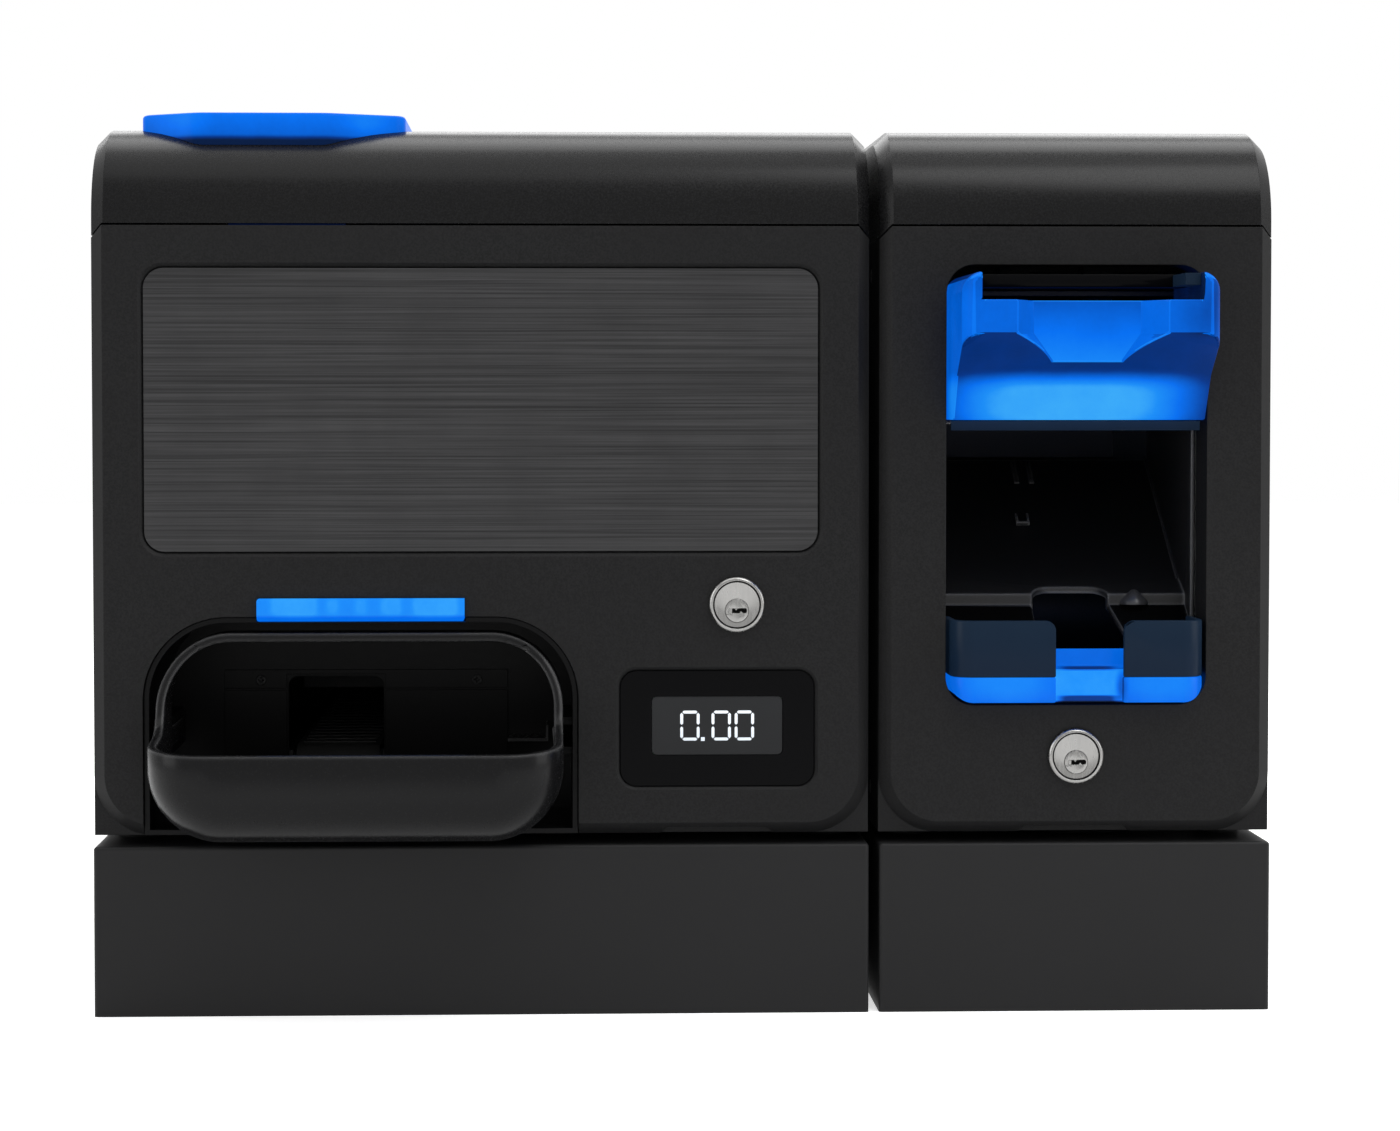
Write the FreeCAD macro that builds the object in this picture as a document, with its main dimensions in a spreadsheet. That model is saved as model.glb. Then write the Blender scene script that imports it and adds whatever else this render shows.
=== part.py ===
# Cash recycler for a shop counter: a coin module and a banknote module side by side on plinths.
# Row frame in millimetres: +X right, +Y to the back, +Z up, origin under the middle of the whole unit.
import FreeCAD, Part
import math
import os
import Sketcher

SIZES = {
    # Overall
    "coin_width": 300.0,
    "note_width": 153.0,
    "module_gap": 4.0,
    "body_depth": 510.0,
    "plinth_height": 66.0,
    "foot_height": 4.0,
    "fascia_height": 235.4,
    "lid_height": 38.6,
    # Fascias
    "bevel": 4.5,
    "corner_step": 0.6,
    "corner_round": 19.0,
    "fascia_depth": 24.0,
    "fascia_rim": 2.5,
    "fascia_face": 3.2,
    "fascia_shoulder": 8.0,
    "face_margin": 24.5,
    "seam_drop": 3.9,
    "lid_gap": 0.8,
    "fit_gap": 0.3,
    "inlay_side": 20.0,
    "inlay_height": 109.4,
    "inlay_drop_part": 16.2,
    "inlay_rise_part": 17.9,
    "inlay_round": 8.0,
    "inlay_rim": 1.9,
    "inlay_recess": 2.1,
    "inlay_thick": 1.2,
    # Coin cup and its niche
    "arch_left_part": 19.3,
    "arch_gap_part": 16.1,
    "display_right_part": 21.4,
    "arch_width": 167.8,
    "arch_height": 84.7,
    "arch_round": 32.0,
    "niche_wall": 2.0,
    "niche_depth": 72.0,
    "cup_reach": 58.0,
    "cup_side": 6.0,
    "cup_above": 6.1,
    "cup_low": 2.6,
    "cup_round": 28.0,
    "cup_nose": 22.0,
    "cup_wall": 3.6,
    "cup_lip": 34.2,
    "cup_lip_climb": 5.0,
    "cup_sweep": 14.0,
    "cup_arch_face": 1.0,
    "cup_tail": 16.0,
    "runner_width": 3.0,
    "runner_root": 3.0,
    "runner_height": 8.0,
    "runner_low": 30.0,
    "rail_strip": 3.0,
    "rail_reach": 6.0,
    "chute_left": 50.7,
    "chute_width": 38.5,
    "chute_low": 14.0,
    "chute_height": 42.0,
    "chute_round": 4.0,
    # Light bar over the cup
    "bar_width": 80.0,
    "bar_lap": 1.8,
    "bar_height": 9.0,
    "bar_proud": 3.0,
    "bar_bevel": 1.5,
    "bar_depth": 10.0,
    "board_thick": 1.6,
    "led_size": 3.0,
    "led_height": 1.2,
    "led_pitch": 8.0,
    # Display
    "display_low": 18.6,
    "display_width": 75.4,
    "display_height": 45.0,
    "display_round": 6.5,
    "display_recess": 2.0,
    "display_rim": 1.4,
    "display_thick": 1.2,
    "window_width": 51.0,
    "window_height": 23.0,
    "window_round": 2.3,
    "window_rise": 1.0,
    "window_thick": 0.8,
    "grip_width": 44.0,
    "grip_height": 2.6,
    "grip_depth": 2.0,
    # Key locks
    "coin_lock_shift": 7.5,
    "coin_lock_drop": 20.6,
    "note_lock_drop": 19.9,
    "note_lock_rise_part": 19.1,
    "lock_head": 10.8,
    "lock_head_thick": 2.4,
    "lock_head_bevel": 0.8,
    "lock_face": 8.9,
    "lock_face_sink": 0.6,
    "lock_body": 9.0,
    "lock_length": 30.0,
    "plug_radius": 4.5,
    "plug_drop": 2.3,
    "plug_gap": 0.05,
    "key_width": 6.2,
    "key_height": 1.6,
    "key_depth": 12.0,
    "nut_radius": 13.0,
    "nut_thick": 4.0,
    "cam_thick": 2.0,
    "cam_width": 8.0,
    "cam_arm": 14.0,
    "cam_pin": 2.0,
    "keeper_arm": 34.0,
    "keeper_slot": 24.0,
    "lever_width": 9.0,
    "lever_thick": 2.5,
    "lever_pivot_rise": 75.0,
    "lever_pivot": 3.0,
    "lever_boss": 5.0,
    "pin_play": 0.6,
    "hook_length": 9.0,
    "hook_height": 4.0,
    "strike_width": 11.0,
    "strike_drop": 14.0,
    "strike_gap": 1.0,
    "strike_clear": 3.0,
    "strike_lip": 2.5,
    # Lids
    "lid_wall": 3.5,
    "lid_round": 36.0,
    "lid_bevel": 5.0,
    "lid_back_round": 9.0,
    "hinge_clear": 0.3,
    "knuckle": 3.5,
    "knuckle_root": 10.5,
    "knuckle_length": 18.0,
    "hinge_pin": 1.5,
    "running_gap": 0.05,
    "hinge_inset": 22.0,
    # Coin funnel on the lid
    "funnel_left": 16.7,
    "funnel_width": 103.0,
    "funnel_front": 15.0,
    "funnel_length": 112.0,
    "funnel_rise": 5.8,
    "funnel_wall": 3.0,
    "funnel_sink": 16.0,
    "funnel_slope": 12.0,
    "funnel_corner": 14.0,
    "funnel_left_cut": 22.0,
    "funnel_right_cut": 30.0,
    "funnel_cut_depth": 15.0,
    "throat_size": 46.0,
    "throat_round": 8.0,
    "throat_drop": 36.0,
    # Sheet-metal casings and plinths
    "sheet": 1.5,
    "vent_length": 46.0,
    "vent_height": 3.0,
    "vent_pitch": 9.0,
    "vent_low": 40.0,
    "vent_back": 40.0,
    "screw_inset": 14.0,
    "screw_head": 3.2,
    "screw_depth": 1.2,
    "tie_low": 84.0,
    "tie_height": 40.0,
    "tie_lap": 22.0,
    "tie_thick": 2.0,
    "tie_round": 2.0,
    "flange": 26.0,
    "flange_thick": 2.0,
    "bolt_inset_y": 60.0,
    "bolt_radius": 3.5,
    "plinth_round": 1.4,
    "foot_radius": 9.0,
    "foot_inset": 14.0,
    # Rear connectors
    "port_right": 12.0,
    "port_width": 102.0,
    "port_low": 22.0,
    "port_height": 42.0,
    "port_lap": 8.0,
    "inlet_left": 8.0,
    "inlet_width": 28.0,
    "inlet_height": 22.0,
    "inlet_depth": 20.0,
    "inlet_wall": 2.0,
    "blade_width": 1.8,
    "blade_height": 4.0,
    "blade_pitch": 7.0,
    "blade_length": 14.0,
    "rocker_width": 13.0,
    "rocker_height": 19.0,
    "rocker_play": 0.4,
    "rocker_half": 3.0,
    "rocker_back": 8.0,
    "rocker_pivot": 1.5,
    "socket_left": 64.0,
    "socket_width": 16.0,
    "socket_height": 13.0,
    "socket_pitch": 18.0,
    "socket_wall": 1.2,
    # Coin handling
    "deck_gap": 0.4,
    "deck_back": 40.0,
    "deck_inset": 2.5,
    "bowl_radius": 62.0,
    "bowl_wall": 2.0,
    "bowl_floor": 3.0,
    "bowl_height": 52.0,
    "bowl_low": 172.0,
    "bowl_front": 38.0,
    "bowl_side": 6.0,
    "disc_thick": 5.0,
    "disc_gap": 1.0,
    "disc_hub": 9.0,
    "hub_height": 9.0,
    "hub_round": 4.5,
    "coin_pocket": 13.5,
    "pocket_orbit": 38.0,
    "shaft_radius": 3.0,
    "shaft_hole": 4.0,
    "shaft_depth": 12.0,
    "motor_radius": 22.0,
    "motor_height": 55.0,
    "exit_height": 7.0,
    "rail_width": 30.0,
    "rail_thick": 3.0,
    "rail_edge": 5.0,
    "rail_side": 2.0,
    "coin_hole": 9.0,
    "coin_hole_step": 0.8,
    "bin_gap": 18.0,
    "bin_low": 42.0,
    "bin_size": 38.0,
    "bin_wall": 2.0,
    "bin_floor_hole": 15.0,
    "belt_width": 34.0,
    "belt_thick": 1.5,
    "belt_gap": 4.45,
    "belt_length": 330.0,
    "belt_rise": 6.0,
    "roller_radius": 8.0,
    "roller_end": 1.0,
    "cheek_thick": 2.5,
    "cheek_lap": 12.0,
    "supply_width": 70.0,
    "supply_length": 150.0,
    "supply_height": 45.0,
    "supply_right": 25.0,
    "supply_back": 60.0,
    "supply_bevel": 1.5,
    "board_length": 160.0,
    "board_height": 90.0,
    "board_low": 60.0,
    "board_front": 230.0,
    "board_inset": 8.0,
    "chip_size": 22.0,
    "chip_height": 4.0,
    "chip_inset": 11.0,
    "chip_pitch": 33.0,
    # Banknote inlet hood
    "mouth_width": 101.7,
    "mouth_drop_part": 14.7,
    "mouth_height": 170.9,
    "mouth_round": 11.0,
    "collar_wall": 2.0,
    "collar_depth": 22.0,
    "hood_side": 1.85,
    "hood_drop": 3.9,
    "hood_low": 56.2,
    "hood_reach": 40.0,
    "hood_lip": 10.7,
    "hood_chin": 23.1,
    "hood_waist_reach": 17.0,
    "hood_waist": 39.3,
    "hood_toe_reach": 5.0,
    "hood_wall": 3.0,
    "hood_back": 25.0,
    "hood_lug": 5.0,
    "hood_corner": 8.0,
    "hood_round": 3.0,
    "slot_width": 84.0,
    "slot_height": 5.6,
    "slot_face": 6.0,
    "scoop_width": 57.5,
    "scoop_foot": 26.0,
    "scoop_low": 34.0,
    "scoop_depth": 15.6,
    "scoop_draft": 8.0,
    # Banknote outlet niche, ramp and tray
    "outlet_inset": 2.0,
    "outlet_wall": 1.5,
    "outlet_depth": 122.0,
    "ramp_top": 17.6,
    "ramp_foot": 46.9,
    "ramp_foot_back": 48.0,
    "shelf_back": 34.0,
    "shelf_low": 41.3,
    "riser": 4.4,
    "floor_low": 18.2,
    "ramp_thick": 2.0,
    "ramp_heel": 3.0,
    "floor_front": 4.5,
    "ramp_exit": 8.0,
    "finger_width": 29.0,
    "finger_reach": 40.0,
    "finger_round": 7.5,
    "finger_offset": 2.0,
    "finger_flare": 9.0,
    "tray_side": 1.55,
    "tray_reach": 8.0,
    "tray_low": 1.5,
    "tray_light_height": 9.8,
    "tray_height": 31.8,
    "tray_wall": 2.6,
    "tray_depth": 21.0,
    "tray_round": 9.0,
    "corner_cut": 8.5,
    "corner_sweep": 8.33,
    "cut_over": 1.0,
    "notch_width": 26.4,
    "notch_offset": 4.3,
    "notch_round": 4.0,
    "insert_rise": 20.2,
    "insert_step": 13.0,
    "insert_sink": 0.8,
    "insert_lean": 6.0,
    "insert_thick": 3.0,
    # Banknote transport and store
    "frame_side": 6.0,
    "frame_thick": 2.0,
    "frame_front": 30.0,
    "frame_lap": 16.0,
    "frame_top": 7.5,
    "guide_side": 4.0,
    "guide_thick": 2.0,
    "guide_length": 77.0,
    "lug_back": 30.0,
    "path_gap": 2.4,
    "path_rise": 2.0,
    "feed_radius": 9.0,
    "nip_gap": 0.2,
    "feed_back": 62.0,
    "tyre_half": 6.0,
    "tyre_pitch": 34.0,
    "tyre_gap": 1.0,
    "validator_length": 96.0,
    "validator_half": 22.0,
    "validator_round": 2.0,
    "bend_in": 18.0,
    "bend_round": 18.0,
    "bend_low": 4.0,
    "drum_gap": 16.0,
    "drum_rise": 78.0,
    "drum_radius": 30.0,
    "drum_flange": 34.0,
    "drum_rim": 2.0,
    "store_gap": 8.0,
    "store_length": 200.0,
    "store_low": 8.0,
    "store_height": 130.0,
    "store_side": 3.0,
    "store_wall": 2.5,
    "store_mouth": 12.0,
    "pusher_thick": 3.0,
    "pusher_gap": 1.0,
    "pusher_rest": 30.0,
    "drive_side": 30.0,
    "drive_round": 3.0,
    "drive_length": 12.0,
    "note_board_inset": 8.0,
}

COUNTS = {
    "led_count": 9,
    "vent_rows": 9,
    "nut_sides": 6,
    "pocket_count": 6,
    "bin_count": 6,
    "socket_count": 2,
    "chip_count": 4,
}

ANGLES = {
    "rocker_tilt": 9.0,
}

NEAR = 1e-3
LEAST_CUT = 1e-6

doc = FreeCAD.newDocument("cash_recycler")
sheet = doc.addObject("Spreadsheet::Sheet", "Sizes")
for row, (alias, length) in enumerate({**SIZES, **COUNTS, **ANGLES}.items(), start=1):
    sheet.set(f"A{row}", alias.replace("_", " "))
    sheet.set(f"B{row}", str(length))
    sheet.setAlias(f"B{row}", alias)
doc.recompute()


class Measure:
    """A length that keeps its value now beside the sheet expression that drives it."""

    def __init__(self, value, text):
        self.value = value
        self.text = text

    @staticmethod
    def of(other):
        """The Measure itself, or a plain number as one."""
        return other if isinstance(other, Measure) else Measure(float(other), repr(float(other)))

    def __add__(self, other):
        other = Measure.of(other)
        return Measure(self.value + other.value, f"({self.text} + {other.text})")

    def __sub__(self, other):
        other = Measure.of(other)
        return Measure(self.value - other.value, f"({self.text} - {other.text})")

    def __mul__(self, factor):
        other = Measure.of(factor)
        return Measure(self.value * other.value, f"({self.text} * {other.text})")

    def __truediv__(self, factor):
        other = Measure.of(factor)
        return Measure(self.value / other.value, f"({self.text} / {other.text})")

    def __neg__(self):
        return Measure(-self.value, f"(0 - {self.text})")

    def __radd__(self, other):
        return Measure.of(other) + self

    def __rsub__(self, other):
        return Measure.of(other) - self


class SheetSizes:
    """Reads a named size from the sheet as a Measure."""

    def __getattr__(self, alias):
        return Measure(float(getattr(sheet, alias)), f"Sizes.{alias}")


def circular(name, angle):
    """The sine, cosine or tangent of an angle in degrees, as a Measure."""
    return Measure(getattr(math, name)(math.radians(angle.value)), f"{name}({angle.text} * 1deg)")


def around(count):
    """Cosine and sine of each of several evenly spaced turns."""
    turns = [math.tau * number / count for number in range(count)]
    return [(round(math.cos(turn), 6), round(math.sin(turn), 6)) for turn in turns]


S = SheetSizes()
PIECES = []

PLANES = {"front": "XZ_Plane", "side": "YZ_Plane", "top": "XY_Plane"}


def corner_arc(before, corner, after, radius):
    """The two tangent points of a rounded corner, the middle of its arc and whether it turns left."""
    along = (before - corner).normalize()
    onward = (after - corner).normalize()
    half = along.getAngle(onward) / 2
    first = corner + along * (radius / math.tan(half))
    last = corner + onward * (radius / math.tan(half))
    inward = (along + onward).normalize()
    centre = corner + inward * (radius / math.sin(half))
    turns_left = (first - centre).cross(last - centre).z > 0
    return first, centre - inward * radius, last, turns_left


def bind(sketch, constraint, measure):
    """Adds a dimension to a sketch and ties it to the sheet."""
    index = sketch.addConstraint(constraint)
    sketch.setExpression(f"Constraints[{index}]", measure.text)


def draw_polygon(sketch, corners):
    """A closed outline of straight edges. A corner is (x, y) or (x, y, radius)."""
    corners = [[Measure.of(part) for part in corner] for corner in corners]
    points = [FreeCAD.Vector(c[0].value, c[1].value, 0) for c in corners]
    arcs = []
    for index, corner in enumerate(corners):
        if len(corner) == 3:
            after = points[(index + 1) % len(points)]
            arcs.append(corner_arc(points[index - 1], points[index], after, corner[2].value))
        else:
            arcs.append((points[index], None, points[index], None))
    edges = []
    for index in range(len(corners)):
        start, end = arcs[index][2], arcs[(index + 1) % len(corners)][0]
        edges.append(sketch.addGeometry(Part.LineSegment(start, end), False))
    for index, corner in enumerate(corners):
        before, after = edges[index - 1], edges[index]
        if len(corner) == 3:
            first, middle, last, turns_left = arcs[index]
            arc = sketch.addGeometry(Part.Arc(first, middle, last), False)
            enters, leaves = (1, 2) if turns_left else (2, 1)
            sketch.addConstraint(Sketcher.Constraint("Tangent", before, 2, arc, enters))
            sketch.addConstraint(Sketcher.Constraint("Tangent", arc, leaves, after, 1))
            bind(sketch, Sketcher.Constraint("Radius", arc, corner[2].value), corner[2])
            point, position = sketch.addGeometry(Part.Point(points[index]), True), 1
            sketch.addConstraint(Sketcher.Constraint("PointOnObject", point, 1, before))
            sketch.addConstraint(Sketcher.Constraint("PointOnObject", point, 1, after))
        else:
            sketch.addConstraint(Sketcher.Constraint("Coincident", before, 2, after, 1))
            point, position = after, 1
        across, up = corner[0], corner[1]
        bind(sketch, Sketcher.Constraint("DistanceX", -1, 1, point, position, across.value), across)
        bind(sketch, Sketcher.Constraint("DistanceY", -1, 1, point, position, up.value), up)


def draw_disc(sketch, across, up, radius):
    """A full circle."""
    centre = FreeCAD.Vector(across.value, up.value, 0)
    ring = sketch.addGeometry(Part.Circle(centre, FreeCAD.Vector(0, 0, 1), radius.value), False)
    bind(sketch, Sketcher.Constraint("Radius", ring, radius.value), radius)
    bind(sketch, Sketcher.Constraint("DistanceX", -1, 1, ring, 3, across.value), across)
    bind(sketch, Sketcher.Constraint("DistanceY", -1, 1, ring, 3, up.value), up)


def disc(across, up, radius):
    """A circle, as a loop for a pad or a pocket."""
    return ("disc", Measure.of(across), Measure.of(up), Measure.of(radius))


def rect(x0, y0, x1, y1, radius=None):
    """A rectangle, with all its corners rounded if a radius is given."""
    corners = [(x0, y0), (x1, y0), (x1, y1), (x0, y1)]
    return corners if radius is None else [(*corner, radius) for corner in corners]


def arch(x0, y0, x1, y1, radius):
    """A rectangle with its two upper corners rounded."""
    return [(x0, y0), (x1, y0), (x1, y1, radius), (x0, y1, radius)]


class Piece:
    """One sub-part: a body whose features are drawn on its own origin planes."""

    def __init__(self, label):
        self.body = doc.addObject("PartDesign::Body", label)
        self.body.Label = label
        self.body.AllowCompound = True
        self.label = label
        PIECES.append(self)

    def origin(self, role):
        """One of the body's own origin planes or axes."""
        return next(part for part in self.body.Origin.OriginFeatures if part.Role == role)

    def sketch(self, plane, at, loops):
        """The loops drawn on an origin plane, moved to that height."""
        made = self.body.newObject("Sketcher::SketchObject", f"{self.label}_outline")
        made.AttachmentSupport = [(self.origin(PLANES[plane]), "")]
        made.MapMode = "FlatFace"
        height = -at if plane == "front" else at
        made.setExpression("AttachmentOffset.Base.z", height.text)
        for loop in loops:
            if loop[0] == "disc":
                draw_disc(made, *loop[1:])
            else:
                draw_polygon(made, loop)
        made.Visibility = False
        return made

    def feature(self, kind, plane, start, end, loops, reverse):
        """A pad or pocket of the loops between two planes."""
        start, end = Measure.of(start), Measure.of(end)
        made = self.body.newObject(f"PartDesign::{kind}", f"{self.label}_{kind.lower()}")
        made.Profile = self.sketch(plane, start, loops)
        made.setExpression("Length", (end - start).text)
        made.Reversed = reverse
        return made

    def pad(self, plane, start, end, *loops):
        """Adds the loops' area between two planes: front is along Y, side along X, top along Z."""
        return self.feature("Pad", plane, start, end, loops, plane == "front")

    def pocket(self, plane, start, end, *loops):
        """Cuts the loops' area between two planes, and checks that it took something away."""
        doc.recompute()
        before = self.body.Shape.Volume
        made = self.feature("Pocket", plane, start, end, loops, plane != "front")
        doc.recompute()
        if self.body.Shape.Volume > before - LEAST_CUT:
            raise RuntimeError(f"a pocket of {self.label} cuts nothing")
        return made

    def loft(self, kind, plane, *sections):
        """Joins outlines at several heights. Each section is (height, loop)."""
        made = self.body.newObject(f"PartDesign::{kind}", f"{self.label}_{kind.lower()}")
        drawn = [self.sketch(plane, Measure.of(at), [loop]) for at, loop in sections]
        made.Profile = drawn[0]
        made.Sections = drawn[1:]
        made.Ruled = True
        return made

    def dress(self, kind, prop, size, choose):
        """A fillet or chamfer on the edges that choose accepts."""
        doc.recompute()
        base = self.body.Tip
        names = [f"Edge{n}" for n, edge in enumerate(base.Shape.Edges, start=1) if choose(edge)]
        if not names:
            raise RuntimeError(f"{self.label} has no edge for its {kind.lower()}")
        made = self.body.newObject(f"PartDesign::{kind}", f"{self.label}_{kind.lower()}")
        made.Base = (base, names)
        made.setExpression(prop, size.text)
        doc.recompute()
        return made

    def fillet(self, radius, choose):
        """Rounds the edges that choose accepts."""
        return self.dress("Fillet", "Radius", radius, choose)

    def chamfer(self, size, choose):
        """Bevels the edges that choose accepts."""
        return self.dress("Chamfer", "Size", size, choose)

    def repeat(self, feature, axis, step, count):
        """Repeats a feature along one of the body's own axes."""
        made = self.body.newObject("PartDesign::LinearPattern", f"{self.label}_row")
        made.Originals = [feature]
        made.Direction = (self.origin(f"{axis}_Axis"), [""])
        made.setExpression("Length", (step * (count - 1)).text)
        made.setExpression("Occurrences", count.text)
        self.body.Tip = made
        return made

    @property
    def result(self):
        """The object whose shape is the finished sub-part."""
        return self.body


class Cutout:
    """A sub-part that is one body with others cut from it."""

    def __init__(self, label, base, *tools):
        joined = base.result
        for number, tool in enumerate(tools, start=1):
            cut = doc.addObject("Part::Cut", label if number == len(tools) else f"{label}_cut")
            cut.Base, cut.Tool = joined, tool.result
            joined = cut
        self.label = label
        self.result = joined
        joined.Label = label
        for used in (base, *tools):
            PIECES.remove(used)
        PIECES.append(self)


def flat_at(edge, axis, place):
    """Whether an edge lies in the plane where that coordinate has that value."""
    low = getattr(edge.BoundBox, f"{axis}Min")
    high = getattr(edge.BoundBox, f"{axis}Max")
    return abs(low - place.value) < NEAR and abs(high - place.value) < NEAR


def within(edge, x0, z0, x1, z1):
    """Whether an edge lies in a front rectangle, seen from the front."""
    box = edge.BoundBox
    across = box.XMin > x0.value - NEAR and box.XMax < x1.value + NEAR
    return across and box.ZMin > z0.value - NEAR and box.ZMax < z1.value + NEAR


# ---------------------------------------------------------------- shared places
# Modules and casings
left = -(S.coin_width + S.module_gap + S.note_width) / 2
coin_x0 = left
coin_x1 = left + S.coin_width
note_x0 = coin_x1 + S.module_gap
note_x1 = note_x0 + S.note_width
note_mid = (note_x0 + note_x1) / 2
MODULES = ((coin_x0, coin_x1), (note_x0, note_x1))
hinge_reach = S.knuckle + S.hinge_clear
front = (S.cup_reach - S.body_depth - hinge_reach - S.knuckle) / 2
back = front + S.body_depth
body_z = S.plinth_height + S.foot_height
seam_z = body_z + S.fascia_height
side_seam_z = seam_z - S.seam_drop
lid_top = seam_z + S.lid_height
case_front = front + S.fascia_depth
slab_front = front + S.bevel + S.corner_step
hinge_y = back + hinge_reach
hinge_z = side_seam_z - S.lid_gap / 2

# Coin front: arch and display share the free width, bar and inlay the free height
free_width = S.coin_width - S.arch_width - S.display_width
width_parts = S.arch_left_part + S.arch_gap_part + S.display_right_part
arch_x0 = coin_x0 + free_width * S.arch_left_part / width_parts
arch_x1 = arch_x0 + S.arch_width
arch_mid = (arch_x0 + arch_x1) / 2
arch_top = body_z + S.arch_height
bar_x0 = arch_mid - S.bar_width / 2
bar_z0 = arch_top - S.bar_lap
bar_z1 = bar_z0 + S.bar_height
display_x1 = coin_x1 - free_width * S.display_right_part / width_parts
display_x0 = display_x1 - S.display_width
display_mid = (display_x0 + display_x1) / 2
display_z0 = body_z + S.display_low
display_z1 = display_z0 + S.display_height
window_x0 = display_mid - S.window_width / 2
window_z0 = display_z0 + (S.display_height - S.window_height) / 2 + S.window_rise
window_x1 = window_x0 + S.window_width
window_z1 = window_z0 + S.window_height
free_height = seam_z - bar_z1 - S.inlay_height
inlay_z1 = seam_z - free_height * S.inlay_drop_part / (S.inlay_drop_part + S.inlay_rise_part)
inlay_z0 = inlay_z1 - S.inlay_height
inlay_x0 = coin_x0 + S.inlay_side
inlay_x1 = coin_x1 - S.inlay_side
coin_lock_x = display_mid + S.coin_lock_shift
coin_lock_z = inlay_z0 - S.coin_lock_drop

# Banknote front: mouth and lock share the free height
note_free = S.fascia_height - S.mouth_height - S.note_lock_drop - S.lock_head
mouth_parts = S.mouth_drop_part + S.note_lock_rise_part
mouth_z1 = seam_z - note_free * S.mouth_drop_part / mouth_parts
mouth_z0 = mouth_z1 - S.mouth_height
mouth_x0 = note_mid - S.mouth_width / 2
mouth_x1 = note_mid + S.mouth_width / 2
note_lock_z = mouth_z0 - S.note_lock_drop
LOCKS = ((coin_lock_x, coin_lock_z), (note_mid, note_lock_z))
hood_z1 = mouth_z1 - S.hood_drop
hood_z0 = hood_z1 - S.hood_low
lip_z = hood_z1 - S.hood_lip
tray_half = S.mouth_width / 2 - S.tray_side

# Cup
cup_half = S.arch_width / 2 - S.cup_side
cup_z0 = body_z + S.cup_low
cup_z1 = arch_top - S.cup_above
runner_z0 = cup_z0 + S.runner_low
runner_y1 = front + S.niche_depth - S.niche_wall - S.rail_strip

# Lock parts
cam_y0 = front + S.lock_length + S.fit_gap
lever_y0 = cam_y0 + S.cam_thick + S.fit_gap
lever_z = coin_lock_z - S.plug_drop + S.lever_pivot_rise
hook_z = seam_z - S.strike_drop / 2

# Coin handling
chute_x0 = arch_x0 + S.chute_left
chute_mid = chute_x0 + S.chute_width / 2
bowl_x = coin_x0 + S.bowl_side + S.bowl_radius
bowl_y = front + S.bowl_front + S.bowl_radius
deck_z = body_z + S.bowl_low
loop_radius = S.roller_radius + S.running_gap + S.belt_thick
roller_z = body_z + S.sheet + S.belt_rise + S.belt_thick + S.roller_radius
belt_y0 = front + S.niche_depth + S.belt_gap + loop_radius
belt_y1 = belt_y0 + S.belt_length
bin_y0 = bowl_y + S.bowl_radius + S.bin_gap
bin_y1 = bin_y0 + S.bin_count * (S.bin_size + S.bin_wall) + S.bin_wall

# Rear connectors
port_x0 = coin_x1 - S.port_right - S.port_width
port_z0 = body_z + S.port_low

# Banknote handling
guide_y0 = front + S.hood_back + S.fit_gap
guide_half = S.slot_width / 2 + S.guide_side
frame_half = guide_half + S.frame_side
store_half = S.slot_width / 2 + S.store_side
path_z = lip_z + S.path_rise
feed_y = front + S.feed_back
drive_z = path_z - S.feed_radius - S.nip_gap / 2
idler_z = path_z + S.feed_radius + S.nip_gap / 2
drum_y = front + S.outlet_depth + S.drum_gap + S.drum_flange
drum_z = body_z + S.drum_rise
store_y0 = drum_y + S.drum_flange + S.store_gap
store_y1 = store_y0 + S.store_length
store_z0 = body_z + S.store_low
store_z1 = store_z0 + S.store_height

# Holes in the sheet metal
keeper_half = S.cam_width / 2 + S.fit_gap
keeper_hole = rect(note_mid - keeper_half, cam_y0 - S.fit_gap,
                   note_mid + S.keeper_slot, cam_y0 + S.cam_thick + S.fit_gap)
niche_hole = rect(arch_x0, case_front, arch_x1, front + S.niche_depth + S.fit_gap)
port_hole = rect(port_x0, port_z0, port_x0 + S.port_width, port_z0 + S.port_height)


# ---------------------------------------------------------------- plinths and casings
def make_plinth(label, x0, x1, keeper=None):
    """A folded steel box, open below, with two bolting flanges."""
    plinth = Piece(label)
    plinth.pad("top", 0, S.plinth_height, rect(x0, front, x1, back))
    plinth.fillet(S.plinth_round, lambda e: flat_at(e, "Z", S.plinth_height) or (
        e.BoundBox.ZLength > S.plinth_height.value / 2))
    inner = rect(x0 + S.sheet, front + S.sheet, x1 - S.sheet, back - S.sheet)
    plinth.pocket("top", 0, S.plinth_height - S.sheet, inner)
    for x_low, x_high in ((x0 + S.sheet, x0 + S.flange), (x1 - S.flange, x1 - S.sheet)):
        plinth.pad("top", 0, S.flange_thick, rect(x_low, front + S.sheet, x_high, back - S.sheet))
    holes = []
    for x in (x0 + (S.flange + S.sheet) / 2, x1 - (S.flange + S.sheet) / 2):
        for y in (front + S.bolt_inset_y, back - S.bolt_inset_y):
            holes.append(disc(x, y, S.bolt_radius))
    plinth.pocket("top", 0, S.flange_thick, *holes)
    if keeper:
        plinth.pocket("top", S.plinth_height - S.sheet, S.plinth_height, keeper)
    return plinth


def make_feet():
    """Rubber pads between each plinth and its module."""
    feet = Piece("module_feet")
    inset = S.foot_inset
    feet.pad("top", S.plinth_height, body_z, *[
        disc(x, y, S.foot_radius) for x0, x1 in MODULES for x in (x0 + inset, x1 - inset)
        for y in (case_front + inset, back - inset)])


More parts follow.
